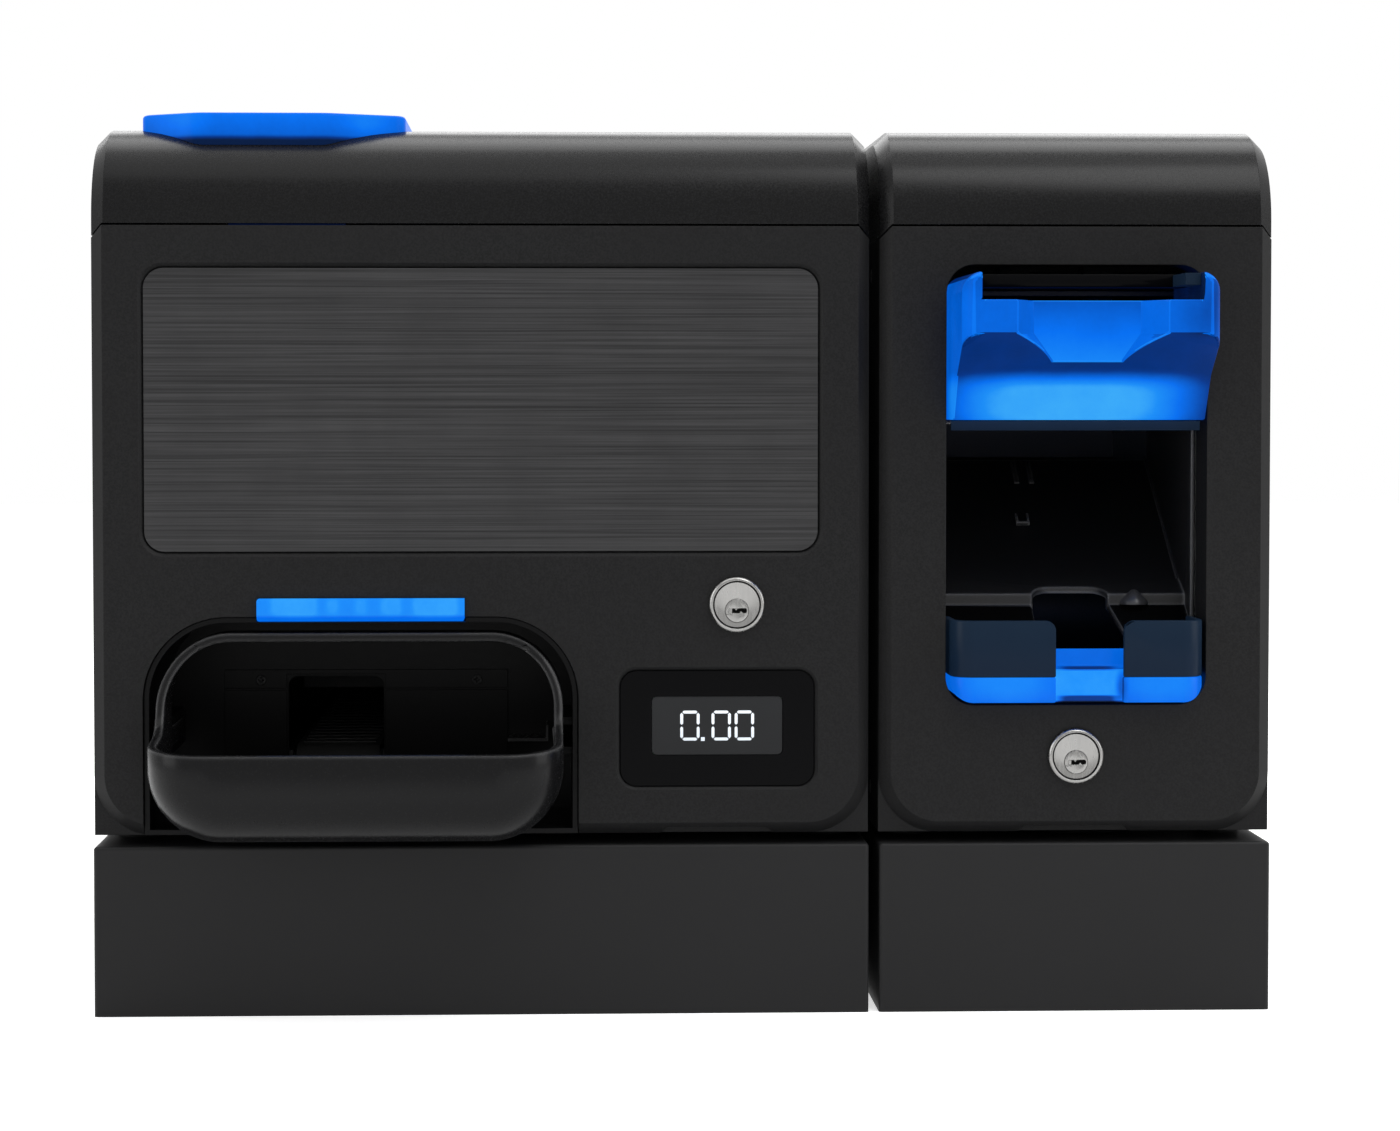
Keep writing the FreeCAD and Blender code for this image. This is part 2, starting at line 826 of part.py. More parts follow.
def make_chassis(label, x0, x1, floor_hole, back_hole=None):
    """Bottom and back of a module in one folded sheet, with its half of the lid hinge."""
    chassis = Piece(label)
    x_low, x_high = x0 + S.sheet, x1 - S.sheet
    top = side_seam_z - S.lid_gap
    floor = body_z + S.sheet
    chassis.pad("side", x_low, x_high, [
        (case_front, body_z), (back, body_z), (back, top), (back - S.sheet, top),
        (back - S.sheet, floor), (case_front, floor)])
    inner, root, leaf = back - S.sheet, hinge_z - S.knuckle_root, top - S.running_gap
    for start in knuckle_places(x0, x1):
        fixed = start + S.knuckle_length + S.fit_gap
        chassis.pad("side", fixed, fixed + S.knuckle_length, [
            (inner, root), (back, root), (hinge_y, hinge_z - S.knuckle), (hinge_y, leaf), (inner, leaf)])
        chassis.pad("side", fixed, fixed + S.knuckle_length, disc(hinge_y, hinge_z, S.knuckle))
        chassis.pocket("side", fixed, fixed + S.knuckle_length, disc(hinge_y, hinge_z, S.hinge_pin))
    chassis.pocket("top", body_z, floor, floor_hole)
    if back_hole:
        chassis.pocket("front", back - S.sheet, back, back_hole)
    return chassis


def knuckle_places(x0, x1):
    """Left ends of the two moving hinge knuckles."""
    return (x0 + S.hinge_inset, x1 - S.hinge_inset - S.knuckle_length * 2 - S.fit_gap)


def screw_places():
    """Where the side covers are screwed on, as (y, z)."""
    inset = S.screw_inset
    return [(y, z) for y in (case_front + inset, back - inset)
            for z in (body_z + inset, side_seam_z - inset)]


def make_side_covers(label, x0, x1):
    """The left and right covers of a module, with rows of cooling slots."""
    covers = Piece(label)
    outline = rect(case_front, body_z, back, side_seam_z - S.lid_gap)
    covers.pad("side", x0, x0 + S.sheet, outline)
    covers.pad("side", x1 - S.sheet, x1, outline)
    for x in (x0, x1 - S.sheet):
        covers.pocket("side", x, x + S.sheet, *[disc(y, z, S.screw_head + S.fit_gap / 2)
                                                for y, z in screw_places()])
        vent_y = back - S.vent_back - S.vent_length
        slot = covers.pocket("side", x, x + S.sheet, rect(
            vent_y, body_z + S.vent_low, vent_y + S.vent_length, body_z + S.vent_low + S.vent_height))
        covers.repeat(slot, "Z", S.vent_pitch, S.vent_rows)


def make_case_screws():
    """Flush screws of all four side covers."""
    screws = Piece("case_screws")
    for x0, x1 in MODULES:
        for outer, inner in ((x0, x0 + S.screw_depth), (x1 - S.screw_depth, x1)):
            screws.pad("side", outer, inner, *[disc(y, z, S.screw_head) for y, z in screw_places()])


# ---------------------------------------------------------------- fascias
def fascia_outline(x0, x1, low, rounded=None):
    """Front outline of a fascia: its top edge drops at both sides, its lower corners may be round."""
    lower = [(x0, low), (x1, low)] if rounded is None else [(x0, low, rounded), (x1, low, rounded)]
    shoulder = side_seam_z - S.lid_gap
    return lower + [(x1, shoulder), (x1 - S.bevel, seam_z), (x0 + S.bevel, seam_z), (x0, shoulder)]


def make_fascia(label, x0, x1):
    """A moulded front: a bevelled plateau with round lower corners on a square-cornered slab."""
    fascia = Piece(label)
    fascia.pad("front", slab_front, case_front, fascia_outline(x0, x1, body_z))
    round_low = S.corner_round + S.bevel
    fascia.pad("front", front, slab_front, fascia_outline(x0, x1, body_z, round_low))
    fascia.chamfer(S.bevel, lambda e: flat_at(e, "Y", front) and e.BoundBox.ZMax < side_seam_z.value)
    rim, shoulder = S.fascia_rim, front + S.fascia_shoulder
    fascia.pocket("front", shoulder, case_front, rect(
        x0 + rim, body_z + rim, x1 - rim, side_seam_z - rim))
    margin = S.face_margin
    fascia.pocket("front", front + S.fascia_face, shoulder, rect(
        x0 + margin, body_z + margin, x1 - margin, seam_z - margin / 2))
    return fascia


def make_coin_fascia():
    """The coin module's front, with its inlay bed, light slot, cup arch, lock and display."""
    fascia = make_fascia("coin_fascia", coin_x0, coin_x1)
    fascia.pocket("front", front, front + S.inlay_recess, rect(
        inlay_x0, inlay_z0, inlay_x1, inlay_z1, S.inlay_round))
    fascia.chamfer(S.inlay_rim, lambda e: flat_at(e, "Y", front) and within(
        e, inlay_x0, inlay_z0, inlay_x1, inlay_z1))
    fascia.pocket("front", front, case_front, arch(arch_x0, body_z, arch_x1, arch_top, S.arch_round))
    fascia.pocket("front", front, case_front, rect(bar_x0, bar_z0, bar_x0 + S.bar_width, bar_z1))
    fascia.pocket("front", front, case_front, lock_hole(coin_lock_x, coin_lock_z))
    fascia.pocket("front", front, front + S.display_recess, rect(
        display_x0, display_z0, display_x1, display_z1, S.display_round))
    fascia.chamfer(S.display_rim, lambda e: flat_at(e, "Y", front) and within(
        e, display_x0, display_z0, display_x1, display_z1))
    fascia.pocket("front", front + S.display_recess, front + S.fascia_shoulder, rect(
        window_x0, window_z0, window_x1, window_z1))
    boss_end = lever_y0 - S.fit_gap
    fascia.pad("front", front + S.fascia_face, boss_end, disc(coin_lock_x, lever_z, S.lever_boss))
    fascia.pad("front", boss_end, lever_y0 + S.lever_thick * 2, disc(
        coin_lock_x, lever_z, S.lever_pivot))
    cut_grip(fascia, display_mid)


def lock_hole(x, z):
    """The loose hole for a lock's barrel."""
    return disc(x, z, S.lock_body + S.fit_gap / 2)


def cut_grip(fascia, middle):
    """Cuts a finger grip with slanted ends into a fascia's lower edge."""
    half, rise = S.grip_width / 2, S.grip_height
    fascia.pocket("front", front, front + S.bevel + S.grip_depth, [
        (middle - half, body_z), (middle + half, body_z),
        (middle + half - rise, body_z + rise), (middle - half + rise, body_z + rise)])


def make_note_fascia():
    """The banknote module's front, with one tall mouth and a lock."""
    fascia = make_fascia("note_fascia", note_x0, note_x1)
    wall = S.collar_wall
    fascia.pad("front", front + S.fascia_face, front + S.collar_depth, rect(
        mouth_x0 - wall, mouth_z0 - wall, mouth_x1 + wall, mouth_z1 + wall, S.mouth_round + wall))
    fascia.pocket("front", front, case_front, rect(
        mouth_x0, mouth_z0, mouth_x1, mouth_z1, S.mouth_round))
    fascia.pocket("front", front, case_front, lock_hole(note_mid, note_lock_z))
    cut_grip(fascia, note_mid)


# ---------------------------------------------------------------- lids
def make_lid(label, x0, x1):
    """A lid shell with a bullnose front, bevelled side edges and its half of the hinge."""
    lid = Piece(label)
    low = side_seam_z
    lid.pad("side", x0, x1, [
        (front, low), (front, lid_top, S.lid_round), (back, lid_top, S.lid_back_round), (back, low)])
    lid.chamfer(S.lid_bevel, lambda e: (flat_at(e, "X", x0) or flat_at(e, "X", x1))
                and e.BoundBox.ZMax > low.value + NEAR and e.BoundBox.YMin < back.value - NEAR)
    under_edge = low - S.lid_gap
    lid.pocket("front", front, case_front, [
        (x0, under_edge), (x1, under_edge), (x1, low), (x1 - S.bevel, seam_z + S.lid_gap),
        (x0 + S.bevel, seam_z + S.lid_gap), (x0, low)])
    wall = S.lid_wall
    lid.pocket("side", x0 + wall, x1 - wall, [
        (front + wall, under_edge), (front + wall, lid_top - wall, S.lid_round - wall),
        (back - wall, lid_top - wall), (back - wall, under_edge)])
    for start in knuckle_places(x0, x1):
        end = start + S.knuckle_length
        lid.pad("side", start, end, [
            (back - wall, low), (hinge_y, low), (hinge_y, hinge_z + S.knuckle),
            (back, hinge_z + S.knuckle_root), (back - wall, hinge_z + S.knuckle_root)])
        lid.pad("side", start, end, disc(hinge_y, hinge_z, S.knuckle))
        lid.pocket("side", start, end, disc(hinge_y, hinge_z, S.hinge_pin + S.running_gap))
    return lid


def make_lid_pins():
    """The hinge pins of both lids."""
    pins = Piece("lid_hinge_pins")
    for x0, x1 in MODULES:
        for start in knuckle_places(x0, x1):
            pins.pad("side", start, start + S.knuckle_length * 2 + S.fit_gap,
                     disc(hinge_y, hinge_z, S.hinge_pin))


def funnel_outline(grow):
    """Plan of the coin funnel: its two front corners are cut back by different amounts."""
    x0, y0 = coin_x0 + S.funnel_left - grow, front + S.funnel_front - grow
    x1, y1 = x0 + S.funnel_width + grow * 2, y0 + S.funnel_length + grow * 2
    corner = S.funnel_corner
    return [(x0 + S.funnel_left_cut, y0, corner), (x1 - S.funnel_right_cut, y0, corner),
            (x1, y0 + S.funnel_cut_depth, corner / 2), (x1, y1, corner),
            (x0, y1, corner), (x0, y0 + S.funnel_cut_depth, corner / 2)]


def make_coin_lid():
    """The coin module's lid, with the funnel hole and the strike that the latch hooks."""
    lid = make_lid("coin_lid", coin_x0, coin_x1)
    lid.pocket("top", seam_z + S.lid_gap, lid_top, funnel_outline(S.fit_gap / 2))
    strike_x1 = coin_lock_x - S.lever_width / 2 - S.hook_length - S.strike_gap
    strike_x0 = strike_x1 - S.strike_width
    lid.pad("front", lever_y0, lever_y0 + S.lever_thick, rect(
        strike_x0, seam_z - S.strike_drop, strike_x1, lid_top - S.lid_wall))
    lid.pocket("front", lever_y0, lever_y0 + S.lever_thick, rect(
        strike_x0 + S.strike_lip, hook_z - S.strike_clear, strike_x1,
        hook_z + S.hook_height + S.strike_gap))


def make_funnel():
    """Translucent coin funnel: a standing rim, sloping walls and a throat that reaches through the lid."""
    funnel = Piece("coin_funnel")
    top = lid_top + S.funnel_rise
    low = lid_top - S.funnel_sink
    foot = lid_top - S.throat_drop
    wall = S.funnel_wall
    half = S.throat_size / 2
    mid_x, mid_y = bowl_x, bowl_y
    funnel.pad("top", low, top, funnel_outline(Measure.of(0)))
    funnel.pad("top", foot, low, rect(
        mid_x - half, mid_y - half, mid_x + half, mid_y + half, S.throat_round))
    funnel.fillet(wall / 2, lambda e: flat_at(e, "Z", top))
    funnel.pocket("top", lid_top - S.lid_wall, top, funnel_outline(-wall))
    half = half - wall
    slope = S.funnel_slope
    hole = rect(mid_x - half, mid_y - half, mid_x + half, mid_y + half)
    wide = rect(mid_x - half - slope, mid_y - half - slope, mid_x + half + slope, mid_y + half + slope)
    funnel.loft("SubtractiveLoft", "top", (lid_top - S.lid_wall, wide), (low, hole))
    funnel.pocket("top", foot, low, hole)


# ---------------------------------------------------------------- coin cup, niche, light bar and display
def cup_body(label, inset):
    """A round-cornered trough with a domed front, smaller by an inset on every side."""
    half = cup_half - inset
    low, high = cup_z0 + inset, cup_z1 - inset
    nose = front - S.cup_reach + inset
    shape = Piece(label)
    shape.pad("front", nose, front + S.cup_tail, rect(
        arch_mid - half, low, arch_mid + half, high, S.cup_round - inset))
    shape.fillet(S.cup_nose - inset, lambda e: flat_at(e, "Y", nose))
    return shape


def make_cup():
    """The coin cup: a shell cut down to a low lip in front that sweeps up into an arch."""
    outer = cup_body("coin_cup_outer", Measure.of(0))
    inner = cup_body("coin_cup_inner", S.cup_wall)
    x_low, x_high = arch_mid - cup_half, arch_mid + cup_half
    for x0, x1 in ((x_low, x_low + S.runner_width), (x_high - S.runner_width, x_high)):
        outer.pad("front", front + S.cup_tail - S.runner_root, runner_y1, rect(
            x0, runner_z0, x1, runner_z0 + S.runner_height))
    clear = Piece("coin_cup_opening")
    lip = cup_z0 + S.cup_lip
    climb = lip + S.cup_lip_climb
    ahead, above = front - S.cup_reach - S.cut_over, cup_z1 + S.cut_over
    face = front - S.cup_arch_face
    clear.pad("side", x_low - S.cut_over, x_high + S.cut_over, [
        (ahead, lip), (face - S.cup_sweep, climb, S.cup_sweep), (face, climb + S.cup_sweep * 2, S.cup_sweep),
        (face, above), (ahead, above)])
    Cutout("coin_cup", outer, inner, clear)


def make_niche():
    """The liner behind the cup, with the chute hole in its back wall."""
    niche = Piece("cup_niche")
    gap, wall = S.fit_gap, S.niche_wall
    deep = front + S.niche_depth
    niche.pad("front", front + wall, deep, arch(
        arch_x0 + gap, body_z + gap, arch_x1 - gap, arch_top - gap, S.arch_round - gap))
    inset = gap + wall
    niche.pocket("front", front + wall, deep - wall, arch(
        arch_x0 + inset, body_z + inset, arch_x1 - inset, arch_top - inset, S.arch_round - inset))
    for x0, x1 in ((arch_x0 + inset, arch_x0 + inset + S.rail_reach),
                   (arch_x1 - inset - S.rail_reach, arch_x1 - inset)):
        low, high = runner_z0 - gap, runner_z0 + S.runner_height + gap
        niche.pad("front", front + S.cup_tail + S.rail_strip, deep - wall,
                  rect(x0, low - S.rail_strip, x1, low), rect(x0, high, x1, high + S.rail_strip))
    chute_x1, chute_z0 = chute_x0 + S.chute_width, body_z + S.chute_low
    chute_z1 = chute_z0 + S.chute_height
    niche.pocket("front", deep - wall, deep, [
        (chute_x0, chute_z0), (chute_x1, chute_z0), (chute_x1, chute_z1, S.chute_round),
        (chute_x0, chute_z1, S.chute_round)])
    niche.pocket("front", front + wall, case_front, rect(
        bar_x0 - gap, bar_z0 - gap, bar_x0 + S.bar_width + gap, arch_top))


def make_light_bar():
    """The lit lens above the cup."""
    lens = Piece("light_bar")
    gap = S.fit_gap / 2
    lens.pad("front", front - S.bar_proud, front + S.bar_depth, rect(
        bar_x0 + gap, bar_z0 + gap, bar_x0 + S.bar_width - gap, bar_z1 - gap))
    lens.chamfer(S.bar_bevel, lambda e: flat_at(e, "Y", front - S.bar_proud)
                 and e.BoundBox.ZMax < (bar_z0 + S.bar_height / 2).value)


def make_front_boards():
    """Circuit boards behind the lens and behind the display, the first with a row of lamps."""
    boards = Piece("front_boards")
    face, gap = front + S.bar_depth + S.led_height, S.fit_gap
    boards.pad("front", face, face + S.board_thick, rect(
        bar_x0 + gap, bar_z0 + gap, bar_x0 + S.bar_width - gap, bar_z1 - gap))
    bed = front + S.display_recess + gap
    boards.pad("front", bed, bed + S.board_thick, rect(
        window_x0 + gap, window_z0 + gap, window_x1 - gap, window_z1 - gap))
    middle, half = bar_z0 + S.bar_height / 2, S.led_size / 2
    lamp_x = arch_mid - S.led_pitch * (S.led_count - 1) / 2 - half
    lamp = boards.pad("front", face - S.led_height, face, rect(
        lamp_x, middle - half, lamp_x + S.led_size, middle + half))
    doc.recompute()
    boards.repeat(lamp, "X", S.led_pitch, S.led_count)


def make_display():
    """Black frame around the window of a small screen."""
    bezel = Piece("display_bezel")
    gap = S.fit_gap / 2
    bed = front + S.display_recess
    face = bed - S.display_thick
    bezel.pad("front", face, bed, rect(
        display_x0 + gap, display_z0 + gap, display_x1 - gap, display_z1 - gap, S.display_round - gap))
    bezel.pocket("front", face, bed, rect(window_x0, window_z0, window_x1, window_z1, S.window_round))
    window = Piece("display_window")
    window.pad("front", bed - S.window_thick, bed, rect(
        window_x0 + gap, window_z0 + gap, window_x1 - gap, window_z1 - gap, S.window_round - gap))


def make_inlay():
    """The brushed panel in the coin fascia."""
    inlay = Piece("inlay_panel")
    gap, bed = S.fit_gap / 2, front + S.inlay_recess
    inlay.pad("front", bed - S.inlay_thick, bed, rect(
        inlay_x0 + gap, inlay_z0 + gap, inlay_x1 - gap, inlay_z1 - gap, S.inlay_round - gap))


# ---------------------------------------------------------------- locks
def make_barrels():
    """The fixed parts of both key locks: barrels and the nuts that clamp them."""
    barrels = Piece("lock_barrels")
    face, tail = front - S.lock_head_thick, front + S.lock_length
    barrels.pad("front", face, front, *[disc(x, z, S.lock_head) for x, z in LOCKS])
    barrels.chamfer(S.lock_head_bevel, lambda e: flat_at(e, "Y", face))
    barrels.pad("front", front, tail, *[disc(x, z, S.lock_body) for x, z in LOCKS])
    barrels.pocket("front", face, face + S.lock_face_sink, *[disc(x, z, S.lock_face) for x, z in LOCKS])
    barrels.pocket("front", face, tail, *[
        disc(x, z - S.plug_drop, S.plug_radius + S.plug_gap) for x, z in LOCKS])
    nuts = Piece("lock_nuts")
    nut_y0 = front + S.fascia_shoulder
    for x, z in LOCKS:
        nuts.pad("front", nut_y0, nut_y0 + S.nut_thick, [
            (x + S.nut_radius * across, z + S.nut_radius * up)
            for across, up in around(COUNTS["nut_sides"])])
        nuts.pocket("front", nut_y0, nut_y0 + S.nut_thick, disc(x, z, S.lock_body))


def make_plug(name, x, z, cam_outline):
    """The turning parts of a key lock: a plug with its keyway below the middle, and a cam."""
    plug = Piece(f"{name}_lock_plug")
    plug_z = z - S.plug_drop
    face = front - S.lock_head_thick + S.lock_face_sink / 2
    plug.pad("front", face, cam_y0, disc(x, plug_z, S.plug_radius))
    half = S.key_width / 2
    plug.pocket("front", face, face + S.key_depth, rect(
        x - half, plug_z - S.key_height / 2, x + half, plug_z + S.key_height / 2))
    cam = Piece(f"{name}_lock_cam")
    cam.pad("front", cam_y0, cam_y0 + S.cam_thick, cam_outline)
    return cam


def make_coin_lock():
    """The coin module's lock: its cam pin swings a lever whose hook catches the lid's strike."""
    half, plug_z = S.cam_width / 2, coin_lock_z - S.plug_drop
    pin_z = plug_z - S.cam_arm
    cam = make_plug("coin", coin_lock_x, coin_lock_z, rect(
        coin_lock_x - half, pin_z - half, coin_lock_x + half, plug_z + half))
    cam.pad("front", cam_y0 + S.cam_thick, lever_y0 + S.lever_thick + S.fit_gap,
            disc(coin_lock_x, pin_z, S.cam_pin))
    lever = Piece("coin_latch_lever")
    half = S.lever_width / 2
    tip = coin_lock_x - half - S.hook_length
    top = hook_z + S.hook_height
    foot = pin_z - half - S.cam_pin
    lever.pad("front", lever_y0, lever_y0 + S.lever_thick, [
        (coin_lock_x - half, foot, half / 2), (coin_lock_x + half, foot, half / 2),
        (coin_lock_x + half, top), (tip, top), (tip, hook_z), (coin_lock_x - half, hook_z)])
    lever.pocket("front", lever_y0, lever_y0 + S.lever_thick,
                 disc(coin_lock_x, lever_z, S.lever_pivot + S.running_gap))
    play = S.cam_pin + S.pin_play
    lever.pocket("front", lever_y0, lever_y0 + S.lever_thick, rect(
        coin_lock_x - play, pin_z - play, coin_lock_x + play, pin_z + play + S.cam_width))


def make_note_lock():
    """The banknote module's lock: turned down, its long cam drops through the floor into the plinth."""
    half, plug_z = S.cam_width / 2, note_lock_z - S.plug_drop
    make_plug("note", note_mid, note_lock_z, rect(
        note_mid - half, plug_z - half, note_mid + S.keeper_arm, plug_z + half))


# ---------------------------------------------------------------- coin handling
def make_coin_frame():
    """Inner stand of the coin module: a deck on two side walls."""
    frame = Piece("coin_frame")
    x0, x1 = coin_x0 + S.deck_inset, coin_x1 - S.deck_inset
    floor, top, wall = body_z + S.sheet, deck_z, S.sheet
    frame.pad("front", lever_y0 + S.lever_thick * 2 + S.deck_gap, back - S.deck_back, [
        (x0, floor), (x0, top), (x1, top), (x1, floor), (x1 - wall, floor), (x1 - wall, top - wall),
        (x0 + wall, top - wall), (x0 + wall, floor)])
    frame.pocket("top", deck_z - wall, deck_z, disc(bowl_x, bowl_y, S.shaft_hole),
                 *[disc(chute_mid, y, radius) for y, radius in coin_holes()])


def coin_holes():
    """Middle and radius of each sorting hole, smallest coin first."""
    pitch = S.bin_size + S.bin_wall
    first = bin_y0 + S.bin_wall + S.bin_size / 2
    return [(first + pitch * number, S.coin_hole + S.coin_hole_step * number)
            for number in range(COUNTS["bin_count"])]


def make_feed_bowl():
    """Round hopper under the funnel, with an exit window at the back of its floor."""
    bowl = Piece("feed_bowl")
    bowl.pad("top", deck_z, deck_z + S.bowl_height, disc(bowl_x, bowl_y, S.bowl_radius))
    floor = deck_z + S.bowl_floor
    bowl.pocket("top", floor, deck_z + S.bowl_height, disc(bowl_x, bowl_y, S.bowl_radius - S.bowl_wall))
    bowl.pocket("top", deck_z, floor, disc(bowl_x, bowl_y, S.shaft_hole))
    half = S.rail_width / 2
    bowl.pocket("front", bowl_y, bowl_y + S.bowl_radius, rect(
        chute_mid - half, floor, chute_mid + half, floor + S.exit_height))


def make_feed_disc():
    """Turning plate that picks coins out of the hopper, with its shaft."""
    plate = Piece("feed_disc")
    low = deck_z + S.bowl_floor + S.disc_gap
    plate.pad("top", low, low + S.disc_thick, disc(
        bowl_x, bowl_y, S.bowl_radius - S.bowl_wall - S.disc_gap))
    plate.pocket("top", low, low + S.disc_thick, *[
        disc(bowl_x + S.pocket_orbit * across, bowl_y + S.pocket_orbit * along, S.coin_pocket)
        for across, along in around(COUNTS["pocket_count"])])
    hub_z1 = low + S.disc_thick + S.hub_height
    plate.pad("top", low, hub_z1, disc(bowl_x, bowl_y, S.disc_hub))
    plate.fillet(S.hub_round, lambda e: flat_at(e, "Z", hub_z1))
    plate.pad("top", deck_z - S.sheet - S.shaft_depth, low, disc(bowl_x, bowl_y, S.shaft_radius))


def make_feed_motor():
    """Motor hung under the deck; the disc's shaft turns in its top."""
    motor = Piece("feed_motor")
    top = deck_z - S.sheet
    motor.pad("top", top - S.motor_height, top, disc(bowl_x, bowl_y, S.motor_radius))
    motor.pocket("top", top - S.shaft_depth - S.disc_gap, top, disc(
        bowl_x, bowl_y, S.shaft_radius + S.running_gap))


def make_sorter_rail():
    """Track behind the hopper with one hole for each kind of coin."""
    rail = Piece("coin_sorter_rail")
    half, side = S.rail_width / 2, S.rail_side
    y0, y1 = bowl_y + S.bowl_radius, bin_y1
    rail.pad("top", deck_z, deck_z + S.rail_thick, rect(chute_mid - half, y0, chute_mid + half, y1))
    for x in (chute_mid - half - side, chute_mid + half):
        rail.pad("top", deck_z, deck_z + S.rail_thick + S.rail_edge, rect(x, y0, x + side, y1))
    rail.pocket("top", deck_z, deck_z + S.rail_thick, *[
        disc(chute_mid, y, radius) for y, radius in coin_holes()])


def make_coin_bins():
    """A row of square coin stores hung under the deck, each with a hole in its floor."""
    bins = Piece("coin_bins")
    half, wall = S.bin_size / 2, S.bin_wall
    z0, z1 = body_z + S.bin_low, deck_z - S.sheet
    bins.pad("top", z0, z1, rect(chute_mid - half - wall, bin_y0, chute_mid + half + wall, bin_y1))
    store = bins.pocket("top", z0 + wall, z1, rect(
        chute_mid - half, bin_y0 + wall, chute_mid + half, bin_y0 + wall + S.bin_size))
    bins.repeat(store, "Y", S.bin_size + wall, S.bin_count)
    hole = bins.pocket("top", z0, z0 + wall, disc(chute_mid, bin_y0 + wall + half, S.bin_floor_hole))
    bins.repeat(hole, "Y", S.bin_size + wall, S.bin_count)


def belt_outlines(radius):
    """The straight part and the two round ends of a belt loop, seen from the side."""
    return (rect(belt_y0, roller_z - radius, belt_y1, roller_z + radius),
            disc(belt_y0, roller_z, radius), disc(belt_y1, roller_z, radius))


def make_payout_belt():
    """Belt under the coin stores that carries coins forward to the cup, on two rollers between cheeks."""
    half = S.belt_width / 2
    belt = Piece("payout_belt")
    for outline in belt_outlines(loop_radius):
        belt.pad("side", chute_mid - half, chute_mid + half, outline)
    for outline in belt_outlines(loop_radius - S.belt_thick):
        belt.pocket("side", chute_mid - half, chute_mid + half, outline)
    cheek_x = half + S.roller_end + S.fit_gap
    places = (("belt_idler_roller", belt_y0), ("belt_drive_roller", belt_y1))
    for label, y in places:
        roller = Piece(label)
        reach = half + S.roller_end
        roller.pad("side", chute_mid - reach, chute_mid + reach, disc(y, roller_z, S.roller_radius))
        reach = cheek_x + S.cheek_thick
        roller.pad("side", chute_mid - reach, chute_mid + reach, disc(y, roller_z, S.shaft_radius))
    cheeks = Piece("belt_cheeks")
    y0, y1 = belt_y0 - S.cheek_lap / 2, belt_y1 + S.cheek_lap
    for x in (chute_mid - cheek_x - S.cheek_thick, chute_mid + cheek_x):
        cheeks.pad("side", x, x + S.cheek_thick, rect(y0, body_z + S.sheet, y1, roller_z + S.roller_radius))
        cheeks.pocket("side", x, x + S.cheek_thick, *[
            disc(y, roller_z, S.shaft_radius + S.running_gap) for _, y in places])


def make_power_supply():
    """Boxed supply on the floor of the coin module."""
    supply = Piece("power_supply")
    x1, y1, z0 = coin_x1 - S.supply_right, back - S.supply_back, body_z + S.sheet
    supply.pad("top", z0, z0 + S.supply_height, rect(x1 - S.supply_width, y1 - S.supply_length, x1, y1))
    supply.chamfer(S.supply_bevel, lambda e: flat_at(e, "Z", z0 + S.supply_height))


def make_board(label, x, y0, outward):
    """Upright circuit board with a row of parts on one side."""
    board = Piece(label)
    z0 = body_z + S.board_low
    board.pad("side", x, x + S.board_thick, rect(y0, z0, y0 + S.board_length, z0 + S.board_height))
    low = x + S.board_thick if outward else x - S.chip_height
    size, inset = S.chip_size, S.chip_inset
    chip = board.pad("side", low, low + S.chip_height, rect(
        y0 + inset, z0 + size, y0 + inset + size, z0 + size * 2))
    doc.recompute()
    board.repeat(chip, "Y", S.chip_pitch, S.chip_count)


